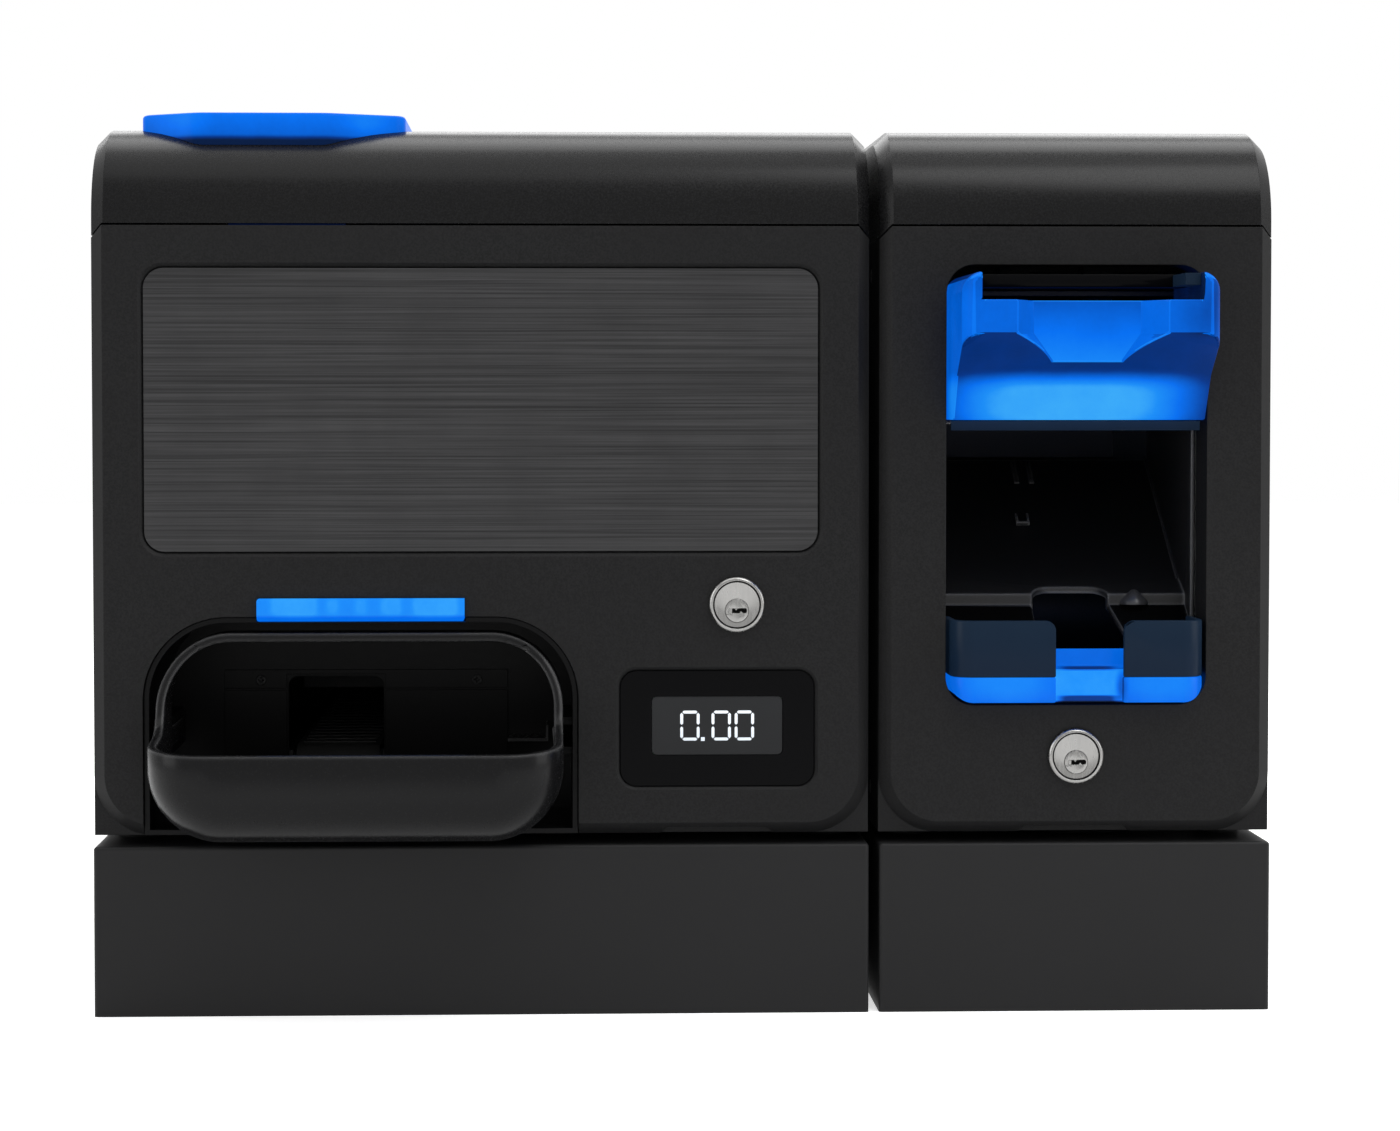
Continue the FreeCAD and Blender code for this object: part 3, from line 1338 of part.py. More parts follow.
# ---------------------------------------------------------------- rear connectors
def make_rear_ports():
    """Connector plate with data sockets, mains inlet with its switch frame, and the switch rocker."""
    plate = Piece("connector_plate")
    x0, z0 = port_x0, port_z0
    lap, inner, outer = S.port_lap, back - S.sheet * 2, back - S.sheet
    plate.pad("front", inner, outer, rect(
        x0 - lap, z0 - lap, x0 + S.port_width + lap, z0 + S.port_height + lap))
    inlet_x = x0 + S.inlet_left
    middle = z0 + S.port_height / 2
    half = S.inlet_height / 2
    rocker_x = inlet_x + S.inlet_width
    module_x1 = rocker_x + S.rocker_width + S.rocker_play * 2 + S.inlet_wall
    socket_x = x0 + S.socket_left
    socket_half = S.socket_height / 2
    plate.pocket("front", inner, outer, rect(inlet_x, middle - half, module_x1, middle + half))
    inset = S.socket_wall
    for number in range(COUNTS["socket_count"]):
        x = socket_x + S.socket_pitch * number
        plate.pad("front", back - S.socket_width, back, rect(
            x, middle - socket_half, x + S.socket_width, middle + socket_half))
        plate.pocket("front", back - S.socket_width + inset, back, rect(
            x + inset, middle - socket_half + inset,
            x + S.socket_width - inset, middle + socket_half - inset))
    module = Piece("mains_inlet")
    wall = S.inlet_wall
    module.pad("front", back - S.inlet_depth, back, rect(inlet_x, middle - half, module_x1, middle + half))
    module.pocket("front", back - S.inlet_depth + wall, back, rect(
        inlet_x + wall, middle - half + wall, rocker_x - wall, middle + half - wall))
    blade_x = inlet_x + S.inlet_width / 2 - S.blade_width / 2
    for shift in (-1, 0, 1):
        x = blade_x + S.blade_pitch * shift
        module.pad("front", back - S.inlet_depth + wall, back - S.inlet_depth + S.blade_length, rect(
            x, middle - S.blade_height / 2, x + S.blade_width, middle + S.blade_height / 2))
    well_x1 = module_x1 - wall
    play = S.rocker_play
    tall = S.rocker_height / 2 + play
    module.pocket("front", back - S.inlet_depth + wall, back, rect(
        rocker_x, middle - tall, well_x1, middle + tall))
    pivot_y = back - S.rocker_half
    module.pocket("side", rocker_x - wall / 2, well_x1 + wall / 2,
                  disc(pivot_y, middle, S.rocker_pivot + S.running_gap))
    rocker = Piece("power_rocker")
    turn = S.rocker_tilt * 2
    cosine, sine = circular("cos", turn), circular("sin", turn)
    deep, high = S.rocker_half, S.rocker_height / 2
    tipped_y = pivot_y + deep * cosine + high * sine
    tipped_z = middle - high * cosine + deep * sine
    crease_z = middle + deep * circular("tan", S.rocker_tilt)
    rocker.pad("side", rocker_x + play, well_x1 - play, [
        (pivot_y - deep, middle - S.rocker_back), (tipped_y, tipped_z), (pivot_y + deep, crease_z),
        (pivot_y + deep, middle + high), (pivot_y - deep, middle + S.rocker_back)])
    rocker.pad("side", rocker_x - wall / 2 + play / 2, well_x1 + wall / 2 - play / 2,
               disc(pivot_y, middle, S.rocker_pivot))


def make_module_tie():
    """Plate across the backs of the two modules."""
    tie = Piece("module_tie")
    z0 = body_z + S.tie_low
    tie.pad("front", back, back + S.tie_thick, rect(
        coin_x1 - S.tie_lap, z0, note_x0 + S.tie_lap, z0 + S.tie_height, S.tie_round))


# ---------------------------------------------------------------- banknote inlet
def make_hood():
    """Translucent inlet hood: ears beside a landing, a scoop and a face that tips back below."""
    hood = Piece("note_hood")
    half = S.mouth_width / 2 - S.hood_side
    low, top, lip = hood_z0, hood_z1, lip_z
    chin, waist = hood_z1 - S.hood_chin, hood_z1 - S.hood_waist
    nose, rear = front - S.hood_reach, front + S.hood_back
    waist_y, toe_y = front - S.hood_waist_reach, front - S.hood_toe_reach
    hood.pad("side", note_mid - half, note_mid + half, [
        (rear, low), (toe_y, low), (waist_y, waist), (nose, chin), (nose, top, S.hood_round), (rear, top)])
    hood.fillet(S.hood_corner, lambda e: flat_at(e, "Z", top) and e.BoundBox.YLength > S.hood_reach.value)
    lug_z = low + (top - low) / 2
    hood.pad("front", front + S.collar_depth, rear, rect(
        note_mid - half - S.hood_lug, low, note_mid + half + S.hood_lug, lug_z))
    wall = S.hood_wall
    hood.pocket("side", note_mid - half + wall, note_mid + half - wall, [
        (rear, low + wall), (toe_y + wall, low + wall), (waist_y + wall * 2, waist + wall),
        (waist_y + wall * 2, lip - wall), (rear, lip - wall)])
    slot = S.slot_width / 2
    hood.pocket("top", lip, top, rect(note_mid - slot, nose, note_mid + slot, front - S.slot_face))
    hood.pocket("front", front - S.slot_face, rear, rect(note_mid - slot, lip, note_mid + slot, top))
    scoop, foot = S.scoop_width / 2, S.scoop_foot / 2
    scoop_z = hood_z1 - S.scoop_low
    outlines = [[(note_mid - foot, scoop_z), (note_mid + foot, scoop_z), (note_mid + wide, chin),
                 (note_mid + wide, lip), (note_mid - wide, lip), (note_mid - wide, chin)]
                for wide in (scoop, scoop - S.scoop_draft)]
    hood.loft("SubtractiveLoft", "front", (nose, outlines[0]), (nose + S.scoop_depth, outlines[1]))
    bezel = Piece("note_slot_bezel")
    gap = S.fit_gap / 2
    bezel.pad("front", front - S.slot_face, rear, rect(
        note_mid - slot + gap, lip + S.slot_height, note_mid + slot - gap, top))


# ---------------------------------------------------------------- banknote outlet
def make_outlet():
    """Lining behind the mouth: side walls, ceiling and a ramp down to a floor with a finger cut-out."""
    outlet = Piece("note_outlet")
    x0, x1 = mouth_x0 + S.outlet_inset, mouth_x1 - S.outlet_inset
    wall, thick = S.outlet_wall, S.ramp_thick
    y0, y1 = front + S.collar_depth + S.fit_gap, front + S.outlet_depth
    low, high = mouth_z0, hood_z0 - S.fit_gap
    for x in (x0 - wall, x1):
        outlet.pad("side", x, x + wall, rect(y0, low, y1, high))
    outlet.pad("side", x0, x1, rect(y0, high - wall, y1 - S.ramp_exit, high))
    foot_y, shelf_y = front + S.ramp_foot_back, front + S.shelf_back
    tip_y = front + S.floor_front
    top, foot, shelf = hood_z0 - S.ramp_top, mouth_z0 + S.ramp_foot, mouth_z0 + S.shelf_low
    step, floor = shelf - S.riser, mouth_z0 + S.floor_low
    outlet.pad("side", x0, x1, [
        (y1, top), (foot_y, foot), (shelf_y, shelf), (shelf_y, step), (tip_y, floor),
        (tip_y, floor - thick), (shelf_y + thick, step - thick), (shelf_y + thick, shelf - thick),
        (foot_y + thick, foot - thick), (y1, top - S.ramp_heel)])
    inner = tray_half - S.tray_wall - S.fit_gap
    outlet.pocket("top", floor - thick, shelf, rect(x0, tip_y, note_mid - inner, y0),
                  rect(note_mid + inner, tip_y, x1, y0))
    half, middle = S.finger_width / 2, note_mid + S.finger_offset
    cut_y = front + S.finger_reach
    outlet.pocket("top", floor - thick, foot, [
        (middle - half, tip_y), (middle + half + S.finger_flare, tip_y),
        (middle + half, cut_y, S.finger_round), (middle - half, cut_y, S.finger_round)])


def tray_wall(piece, low, high):
    """Adds the tray's bent wall between two heights: a front with round corners and two short sides."""
    half, wall = tray_half, S.tray_wall
    y0, y1 = front - S.tray_reach, front + S.tray_depth
    piece.pad("top", low, high, [
        (note_mid - half, y1), (note_mid - half, y0, S.tray_round), (note_mid + half, y0, S.tray_round),
        (note_mid + half, y1)])
    inner = half - wall
    piece.pocket("top", low, high, [
        (note_mid - inner, y1), (note_mid - inner, y0 + wall, S.tray_round - wall),
        (note_mid + inner, y0 + wall, S.tray_round - wall), (note_mid + inner, y1)])


def make_tray():
    """Tray in front of the outlet: tinted walls over a lit base, with a notch and a stepped lit insert."""
    notch_x0 = note_mid + S.notch_offset - S.notch_width / 2
    notch_x1 = notch_x0 + S.notch_width
    low = mouth_z0 + S.tray_low
    split, top = low + S.tray_light_height, low + S.tray_height
    y0, y1 = front - S.tray_reach, front - S.tray_reach + S.tray_wall
    walls = Piece("note_tray")
    tray_wall(walls, split, top)
    walls.pocket("front", y0, y1, rect(notch_x0, split, notch_x1, top))
    walls.fillet(S.notch_round, lambda e: e.BoundBox.YLength > S.tray_wall.value / 2
                 and e.BoundBox.YMax < y1.value + NEAR and flat_at(e, "Z", top)
                 and (flat_at(e, "X", notch_x0) or flat_at(e, "X", notch_x1)))
    base = Piece("note_tray_light")
    tray_wall(base, low, split)
    base.pocket("front", y0, y1, rect(notch_x0, low, notch_x1, split))
    for side in (-1, 1):
        edge, size = note_mid + tray_half * side, S.corner_cut
        past, under = edge + S.cut_over * side, low - S.cut_over
        base.pocket("front", y0, front + S.tray_depth, [
            (past, under), (past, low + size), (edge, low + size), (edge, low, S.corner_sweep),
            (edge - size * side, low), (edge - size * side, under)])
    face = y0 + S.tray_wall
    step, peak = low + S.insert_step, low + S.insert_rise
    base.pad("side", notch_x0 - S.tray_wall, notch_x1 + S.tray_wall, [
        (face, low), (face, step),
        (face + S.insert_lean, step + S.insert_sink), (face + S.insert_lean, peak),
        (face + S.insert_lean + S.insert_thick, peak), (face + S.insert_lean + S.insert_thick, low)])


# ---------------------------------------------------------------- banknote transport and store
def make_note_frame():
    """Two side plates that carry everything inside the banknote module."""
    frame = Piece("note_frame")
    y0, y1, floor = front + S.frame_front, store_y1 + S.frame_lap, body_z + S.sheet
    for x in (note_mid - frame_half - S.frame_thick, note_mid + frame_half):
        frame.pad("side", x, x + S.frame_thick, rect(y0, floor, y1, idler_z + S.frame_top))
        frame.pocket("side", x, x + S.frame_thick, *[
            disc(y, z, S.shaft_radius + S.running_gap) for y, z in (
                (feed_y, drive_z), (feed_y, idler_z), (drum_y, drum_z))])


def tyre_places():
    """Left and right ends of each tyre of a feed roller."""
    return [(note_mid + S.tyre_pitch * side - S.tyre_half, note_mid + S.tyre_pitch * side + S.tyre_half)
            for side in (-0.5, 0.5)]


def make_guides():
    """Upper and lower banknote guide plates with windows for the tyres."""
    guides = Piece("note_guides")
    half, gap, thick = guide_half, S.path_gap / 2, S.guide_thick
    y0 = guide_y0
    y1 = y0 + S.guide_length
    for low in (path_z - gap - thick, path_z + gap):
        guides.pad("top", low, low + thick, rect(note_mid - half, y0, note_mid + half, y1))
    reach = S.feed_radius + S.tyre_gap
    low, high = path_z - gap - thick, path_z + gap + thick
    guides.pocket("top", low, high, *[
        rect(x0 - S.tyre_gap, feed_y - reach, x1 + S.tyre_gap, feed_y + reach) for x0, x1 in tyre_places()])
    wing, lug_y = S.frame_side, y0 + S.lug_back
    for x in (note_mid - frame_half, note_mid + half):
        guides.pad("side", x, x + wing, rect(lug_y, low, lug_y + wing, high),
                   rect(y1 - wing, low, y1, high))
    add_bend(guides, y1 + S.validator_length + S.fit_gap * 2)


def make_feed_roller(label, z):
    """Shaft with rubber tyres."""
    roller = Piece(label)
    reach = frame_half + S.frame_thick
    roller.pad("side", note_mid - reach, note_mid + reach, disc(feed_y, z, S.shaft_radius))
    for x0, x1 in tyre_places():
        roller.pad("side", x0, x1, disc(feed_y, z, S.feed_radius))


def make_validator():
    """Banknote reader with the note path running through it."""
    reader = Piece("note_validator")
    y0 = guide_y0 + S.guide_length + S.fit_gap
    half = S.validator_half
    reader.pad("side", note_mid - frame_half, note_mid + frame_half, rect(
        y0, path_z - half, y0 + S.validator_length, path_z + half, S.validator_round))
    gap = S.path_gap / 2
    reader.pocket("side", note_mid - guide_half, note_mid + guide_half, rect(
        y0, path_z - gap, y0 + S.validator_length, path_z + gap))


def add_bend(guides, y0):
    """Adds the bent plates that turn the banknote path down into the store."""
    gap, thick, low = S.path_gap / 2, S.guide_thick, store_z1 + S.bend_low
    outer_y = store_y0 + S.bend_in
    inner_y = outer_y - S.path_gap - thick
    for y, z, radius in ((outer_y, path_z + gap + thick, S.bend_round),
                         (inner_y, path_z - gap, S.bend_round - S.path_gap - thick)):
        guides.pad("side", note_mid - frame_half, note_mid + frame_half, [
            (y0, z), (y, z, radius), (y, low), (y - thick, low), (y - thick, z - thick, radius - thick),
            (y0, z - thick)])


def make_drum():
    """Drum that winds up banknotes to pay out again."""
    drum = Piece("recycler_drum")
    reach, half = frame_half + S.frame_thick, S.slot_width / 2
    drum.pad("side", note_mid - reach, note_mid + reach, disc(drum_y, drum_z, S.shaft_radius))
    drum.pad("side", note_mid - half, note_mid + half, disc(drum_y, drum_z, S.drum_radius))
    for x in (note_mid - half - S.drum_rim, note_mid + half):
        drum.pad("side", x, x + S.drum_rim, disc(drum_y, drum_z, S.drum_flange))


def make_store():
    """Banknote store and the plate that gives way as the stack grows."""
    store = Piece("note_cassette")
    half, wall = store_half + S.store_wall, S.store_wall
    y0, y1, z0, z1 = store_y0, store_y1, store_z0, store_z1
    store.pad("top", z0, z1, rect(note_mid - half, y0, note_mid + half, y1))
    store.pocket("top", z0 + wall, z1, rect(
        note_mid - store_half, y0 + wall, note_mid + store_half, y1 - wall))
    for x in (note_mid - frame_half, note_mid + half):
        store.pad("side", x, x + frame_half - half, rect(y0, z0, y0 + S.store_mouth, z1),
                  rect(y1 - S.store_mouth, z0, y1, z1))
    plate = Piece("stacker_plate")
    gap = S.pusher_gap
    plate_y = y0 + wall + S.pusher_rest
    plate.pad("front", plate_y, plate_y + S.pusher_thick, rect(
        note_mid - store_half + gap, z0 + wall + gap, note_mid + store_half - gap, z1 - gap))


def make_note_motor():
    """Flat motor on the right frame plate, around the end of the driven shaft."""
    motor = Piece("note_motor")
    x0 = note_mid + frame_half + S.frame_thick
    half = S.drive_side / 2
    motor.pad("side", x0, x0 + S.drive_length, rect(
        feed_y - half, drive_z - half, feed_y + half, drive_z + half, S.drive_round))


# ---------------------------------------------------------------- finish
def export(folder):
    """Checks every object of the document and writes one file for each sub-part."""
    doc.recompute()
    failed = [item.Name for item in doc.Objects if "Invalid" in item.State or "Error" in item.State]
    if failed:
        raise RuntimeError(f"these objects failed: {failed}")
    os.makedirs(folder, exist_ok=True)
    for piece in PIECES:
        shape = piece.result.Shape
        if shape.isNull() or not shape.isValid() or not shape.Solids:
            raise RuntimeError(f"{piece.label} has no valid solid")
        shape.exportStep(os.path.join(folder, f"{piece.label}.step"))


make_plinth("coin_plinth", coin_x0, coin_x1)
make_plinth("note_plinth", note_x0, note_x1, keeper_hole)
make_feet()
make_chassis("coin_chassis", coin_x0, coin_x1, niche_hole, port_hole)
make_chassis("note_chassis", note_x0, note_x1, keeper_hole)
make_side_covers("coin_side_covers", coin_x0, coin_x1)
make_side_covers("note_side_covers", note_x0, note_x1)
make_case_screws()
make_module_tie()
make_coin_fascia()
make_note_fascia()
make_coin_lid()
make_lid("note_lid", note_x0, note_x1)
make_lid_pins()
make_funnel()
make_cup()
make_niche()
make_light_bar()
make_front_boards()
make_display()
make_inlay()
make_barrels()
make_coin_lock()
make_note_lock()
make_coin_frame()
make_feed_bowl()
make_feed_disc()
make_feed_motor()
make_sorter_rail()
make_coin_bins()
make_payout_belt()
make_power_supply()
make_board("coin_board", coin_x1 - S.deck_inset - S.sheet - S.board_inset, front + S.board_front, False)
make_rear_ports()
make_hood()
make_outlet()
make_tray()
make_note_frame()
make_guides()
make_feed_roller("feed_drive_roller", drive_z)
make_feed_roller("feed_idler_roller", idler_z)
make_validator()
make_drum()
make_store()
make_note_motor()
make_board("note_board", note_x0 + S.note_board_inset, front + S.board_front, True)
export("parts")
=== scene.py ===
"""Dresses the cash recycler: a finish for every part, fine pieces on top, and a studio."""

from __future__ import annotations

import logging
import math
from collections.abc import Callable, Sequence
from dataclasses import dataclass
from enum import Enum

import bmesh
import bpy
from mathutils import Matrix, Vector

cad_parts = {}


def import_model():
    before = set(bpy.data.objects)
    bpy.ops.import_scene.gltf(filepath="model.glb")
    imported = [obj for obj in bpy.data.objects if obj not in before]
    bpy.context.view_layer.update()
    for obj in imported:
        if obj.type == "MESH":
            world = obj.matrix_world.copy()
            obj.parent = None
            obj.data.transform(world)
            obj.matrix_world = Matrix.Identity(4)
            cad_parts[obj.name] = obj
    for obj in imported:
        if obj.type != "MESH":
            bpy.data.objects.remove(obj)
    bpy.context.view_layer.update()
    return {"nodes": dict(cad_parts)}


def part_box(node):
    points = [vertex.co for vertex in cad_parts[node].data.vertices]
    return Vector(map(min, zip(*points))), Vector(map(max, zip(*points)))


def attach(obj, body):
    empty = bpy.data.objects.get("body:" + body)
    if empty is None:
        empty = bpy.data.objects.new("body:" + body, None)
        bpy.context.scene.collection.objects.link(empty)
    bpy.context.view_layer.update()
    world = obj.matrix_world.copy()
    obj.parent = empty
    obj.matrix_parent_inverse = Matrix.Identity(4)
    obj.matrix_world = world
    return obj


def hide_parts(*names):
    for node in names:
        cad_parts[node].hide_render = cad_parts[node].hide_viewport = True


LOG = logging.getLogger("cash_recycler")
MM = 0.001

# Where most values of a noise lie, and the cosines at which a normal counts as flat and as an edge.
NOISE_SPAN = (0.3, 0.7)
EDGE_TURN = (0.97, 0.78)

# Metres: corners nearer than this become one, in pieces made here and in CAD meshes.
WELD = 1e-7
CAD_WELD = 2e-6

# Degrees: triangles this near to one plane are joined, and trim is rounded where it turns by more.
FLAT_ANGLE = 0.4
TRIM_ANGLE = 40.0

# Millimetres that a cutter starts before the face that it cuts.
OVERCUT = 0.5

# A screw head: sides of its round, then shares of its recess, radius, recess and thickness.
HEAD_STEPS = 24
ARM_SHARE = 0.26
EDGE_SHARE = 0.12
RECESS_TAPER = 0.7
RECESS_FLOOR = 0.35

Point = tuple[float, float, float]
Colour = tuple[float, float, float]
Pair = tuple[float, float]
ThreeLengths = tuple[float, float, float]
FourLengths = tuple[float, float, float, float]
Socket = bpy.types.NodeSocket
Zones = Callable[[Vector, Vector, Vector], float]

# Euler angles in degrees that turn +Z to the front and to the back.
TO_FRONT: Point = (90.0, 0.0, 0.0)
TO_BACK: Point = (-90.0, 0.0, 0.0)


def mm(*values: float) -> Vector:
    """Millimetres as a vector in metres."""
    return Vector(values) * MM


def toned(colour: Colour, factor: float) -> Colour:
    """A colour made darker, or lighter up to full strength."""
    return tuple(min(part * factor, 1.0) for part in colour)


# ---------------------------------------------------------------- shader writing


class Shader:
    """A material's node tree, written as short calls that return sockets."""

    def __init__(self, name: str) -> None:
        """Starts a material with one principled shader on its output.

        Args:
            name: The material's name.
        """
        self.material = bpy.data.materials.new(name)
        self.material.use_nodes = True
        self.tree = self.material.node_tree
        self.tree.nodes.clear()
        self.surface = self.add("ShaderNodeBsdfPrincipled")
        output = self.add("ShaderNodeOutputMaterial")
        self.tree.links.new(self.surface.outputs[0], output.inputs["Surface"])
        self.where = self.add("ShaderNodeTexCoord").outputs["Object"]

    def add(self, kind: str, **settings: object) -> bpy.types.Node:
        """A new node with some of its settings changed.

        Args:
            kind: The node's type.
            settings: What to set on the node.

        Returns:
            The node.
        """
        node = self.tree.nodes.new(kind)
        for name, value in settings.items():
            setattr(node, name, value)
        return node

    def feed(self, socket: Socket, value: object) -> None:
        """Links a socket into an input, or sets a plain value there.

        Args:
            socket: The input.
            value: Another node's output, a colour, a vector or a number.
        """
        if isinstance(value, bpy.types.NodeSocket):
            self.tree.links.new(value, socket)
        elif isinstance(value, tuple) and len(value) == 3 and len(socket.default_value) == 4:
            socket.default_value = (*value, 1.0)
        else:
            socket.default_value = value

    def set(self, **inputs: object) -> None:
        """Sets or links inputs of the principled shader; underscores stand for spaces."""
        for name, value in inputs.items():
            self.feed(self.surface.inputs[name.replace("_", " ")], value)

    def mapped(self, scale: Point = (1.0, 1.0, 1.0), shift: Point = (0.0, 0.0, 0.0)) -> Socket:
        """Object coordinates, scaled and then shifted.

        Args:
            scale: Factor along each axis.
            shift: What is added after it.

        Returns:
            The changed coordinates.
        """
        node = self.add("ShaderNodeMapping")
        self.feed(node.inputs["Vector"], self.where)
        node.inputs["Scale"].default_value = scale
        node.inputs["Location"].default_value = shift
        return node.outputs[0]

    def noise(self, scale: float, detail: float = 2.0, where: Socket | None = None) -> Socket:
        """Noise between 0 and 1, with a number of features per metre.

        Args:
            scale: Features per metre.
            detail: How many finer layers it has.
            where: Coordinates, if not the plain ones.

        Returns:
            The noise.
        """
        node = self.add("ShaderNodeTexNoise")
        self.feed(node.inputs["Vector"], where or self.where)
        node.inputs["Scale"].default_value = scale
        node.inputs["Detail"].default_value = detail
        return node.outputs["Fac"]

    def span(self, value: Socket, low: float, high: float, to_low: float, to_high: float,
             smooth: bool = False) -> Socket:
        """A value's range carried over to another range, held at its ends.

        Args:
            value: What is carried over.
            low: Start of its range.
            high: End of its range.
            to_low: What the start becomes.
            to_high: What the end becomes.
            smooth: Whether it eases in and out.

        Returns:
            The new value.
        """
        node = self.add("ShaderNodeMapRange")
        if smooth:
            node.interpolation_type = "SMOOTHSTEP"
        self.feed(node.inputs["Value"], value)
        ends = {"From Min": low, "From Max": high, "To Min": to_low, "To Max": to_high}
        for name, number in ends.items():
            node.inputs[name].default_value = number
        return node.outputs[0]

    def math(self, kind: str, first: object, second: object = 0.0) -> Socket:
        """Arithmetic on two values.

        Args:
            kind: The operation.
            first: A socket or a number.
            second: A socket or a number.

        Returns:
            The outcome.
        """
        node = self.add("ShaderNodeMath", operation=kind)
        self.feed(node.inputs[0], first)
        self.feed(node.inputs[1], second)
        return node.outputs[0]

    def blend(self, factor: object, first: object, second: object) -> Socket:
        """A mix of two colours.

        Args:
            factor: Share of the second colour.
            first: A socket or a colour.
            second: A socket or a colour.

        Returns:
            The mixed colour.
        """
        node = self.add("ShaderNodeMix", data_type="RGBA")
        self.feed(node.inputs["Factor"], factor)
        self.feed(node.inputs[6], first)
        self.feed(node.inputs[7], second)
        return node.outputs[2]

    def ramp(self, value: Socket, *stops: tuple[float, Colour]) -> Socket:
        """Colours along a value.

        Args:
            value: Where on the ramp.
            stops: Places and their colours.

        Returns:
            The colour.
        """
        node = self.add("ShaderNodeValToRGB")
        self.feed(node.inputs[0], value)
        elements = node.color_ramp.elements
        while len(elements) < len(stops):
            elements.new(1.0)
        for element, (place, colour) in zip(elements, stops):
            element.position = place
            element.color = (*colour, 1.0)
        return node.outputs[0]

    def round_edges(self, radius: float) -> Socket:
        """Normals that turn softly round every edge, for the tiny rounds that tools leave.

        Args:
            radius: Of the rounds, in metres.

        Returns:
            The normal.
        """
        node = self.add("ShaderNodeBevel", samples=4)
        node.inputs["Radius"].default_value = radius
        return node.outputs[0]

    def edge_mask(self, radius: float) -> Socket:
        """1 on the edges and 0 on the flats.

        Args:
            radius: How far from an edge it reaches, in metres.

        Returns:
            The mask.
        """
        turned = self.add("ShaderNodeVectorMath", operation="DOT_PRODUCT")
        self.feed(turned.inputs[0], self.round_edges(radius))
        self.feed(turned.inputs[1], self.add("ShaderNodeNewGeometry").outputs["Normal"])
        return self.span(turned.outputs["Value"], *EDGE_TURN, 0.0, 1.0)

    def relief(self, height: Socket, distance: float, strength: float,
               under: Socket | None = None) -> Socket:
        """A bumped normal.

        Args:
            height: The relief.
            distance: How deep it is, in metres.
            strength: Share of it that shows.
            under: The normal that it changes, if not the plain one.

        Returns:
            The bumped normal.
        """
        node = self.add("ShaderNodeBump")
        node.inputs["Strength"].default_value = strength
        node.inputs["Distance"].default_value = distance
        self.feed(node.inputs["Height"], height)
        if under is not None:
            self.feed(node.inputs["Normal"], under)
        return node.outputs[0]


# ---------------------------------------------------------------- finishes


@dataclass(frozen=True)
class Moulding:
    """A moulded plastic with a fine spark-eroded grain and softly rounded edges.

    Where `rim` is set, edges take a painted highlight in the rim's tone over that width, in metres.
    Where `shaded` is set, the zone attribute says how deep a face lies in painted shade.
    """

    name: str
    colour: Colour
    shine: float = 0.5
    speckle: float = 0.35
    grain: float = 1500.0
    depth: float = 0.00003
    edge: float = 0.0005
    level: float = 0.4
    rim: float = 0.0
    edge_highlight_tone: Colour = (0.03, 0.03, 0.031)
    shaded: bool = False

    FADED = 0.86
    SPECKS = (0.38, 0.62)
    CLOUD_SCALE = 24.0
    CLOUD_SPAN = (0.35, 0.7)
    CLOUD_SHARE = 0.35
    SHADE = (0.001, 0.001, 0.001)
    SHADE_SHARE = 0.9
    SHADE_LEVEL = 0.02

    def make(self) -> bpy.types.Material:
        """Builds the material.

        Returns:
            The new material.
        """
        shader = Shader(self.name)
        grain = shader.noise(self.grain, 3.0)
        cloud = shader.noise(self.CLOUD_SCALE, 3.0)
        dark, light = toned(self.colour, 1.0 - self.speckle), toned(self.colour, 1.0 + self.speckle)
        speckled = shader.blend(shader.span(grain, *self.SPECKS, 0.0, 1.0), dark, light)
        faded = toned(self.colour, self.FADED)
        clouded = shader.span(cloud, *self.CLOUD_SPAN, 0.0, self.CLOUD_SHARE)
        tone = shader.blend(clouded, speckled, faded)
        # Painted highlight: the edges take the rim's tone.
        if self.rim:
            tone = shader.blend(shader.edge_mask(self.rim), tone, self.edge_highlight_tone)
        level: Socket | float = self.level
        # Painted shade: faces that the zone attribute marks darken and lose their sheen.
        if self.shaded:
            zone = shader.add("ShaderNodeAttribute", attribute_name="zone").outputs["Fac"]
            share = shader.span(zone, 0.0, 1.0, 0.0, self.SHADE_SHARE)
            tone = shader.blend(share, tone, self.SHADE)
            level = shader.span(zone, 0.0, 1.0, self.level, self.SHADE_LEVEL)
        shader.set(
            Base_Color=tone,
            Roughness=shader.span(grain, *NOISE_SPAN, self.shine - 0.05, self.shine + 0.07),
            Specular_IOR_Level=level,
            Normal=shader.relief(grain, self.depth, 0.5, shader.round_edges(self.edge)))
        return shader.material


@dataclass(frozen=True)
class PowderCoat:
    """Paint baked on steel: orange peel, a satin sheen and edges that have gone lighter."""

    name: str
    colour: Colour
    worn: Colour
    shine: float = 0.5
    peel: float = 700.0
    depth: float = 0.00006
    edge: float = 0.0009
    level: float = 0.4

    FADED = 0.82
    PATCH_SCALE = 9.0
    PATCH_SPAN = (0.35, 0.65)
    RUB_SCALE = 160.0
    RUB_SPAN = (0.35, 0.6)
    LEAST_RUB = 0.15

    def make(self) -> bpy.types.Material:
        """Builds the material.

        Returns:
            The new material.
        """
        shader = Shader(self.name)
        peel = shader.noise(self.peel, 2.0)
        fine = shader.noise(self.peel * 4.0, 2.0)
        patches = shader.noise(self.PATCH_SCALE, 4.0)
        body = shader.blend(shader.span(patches, *self.PATCH_SPAN, 0.0, 1.0),
                            toned(self.colour, self.FADED), self.colour)
        rubbed = shader.math("MULTIPLY", shader.edge_mask(self.edge), shader.span(
            shader.noise(self.RUB_SCALE, 4.0), *self.RUB_SPAN, self.LEAST_RUB, 1.0))
        shader.set(
            Base_Color=shader.blend(rubbed, body, self.worn),
            Roughness=shader.span(fine, *NOISE_SPAN, self.shine - 0.06, self.shine + 0.06),
            Specular_IOR_Level=self.level,
            Normal=shader.relief(peel, self.depth, 0.35, shader.round_edges(self.edge)))
        return shader.material


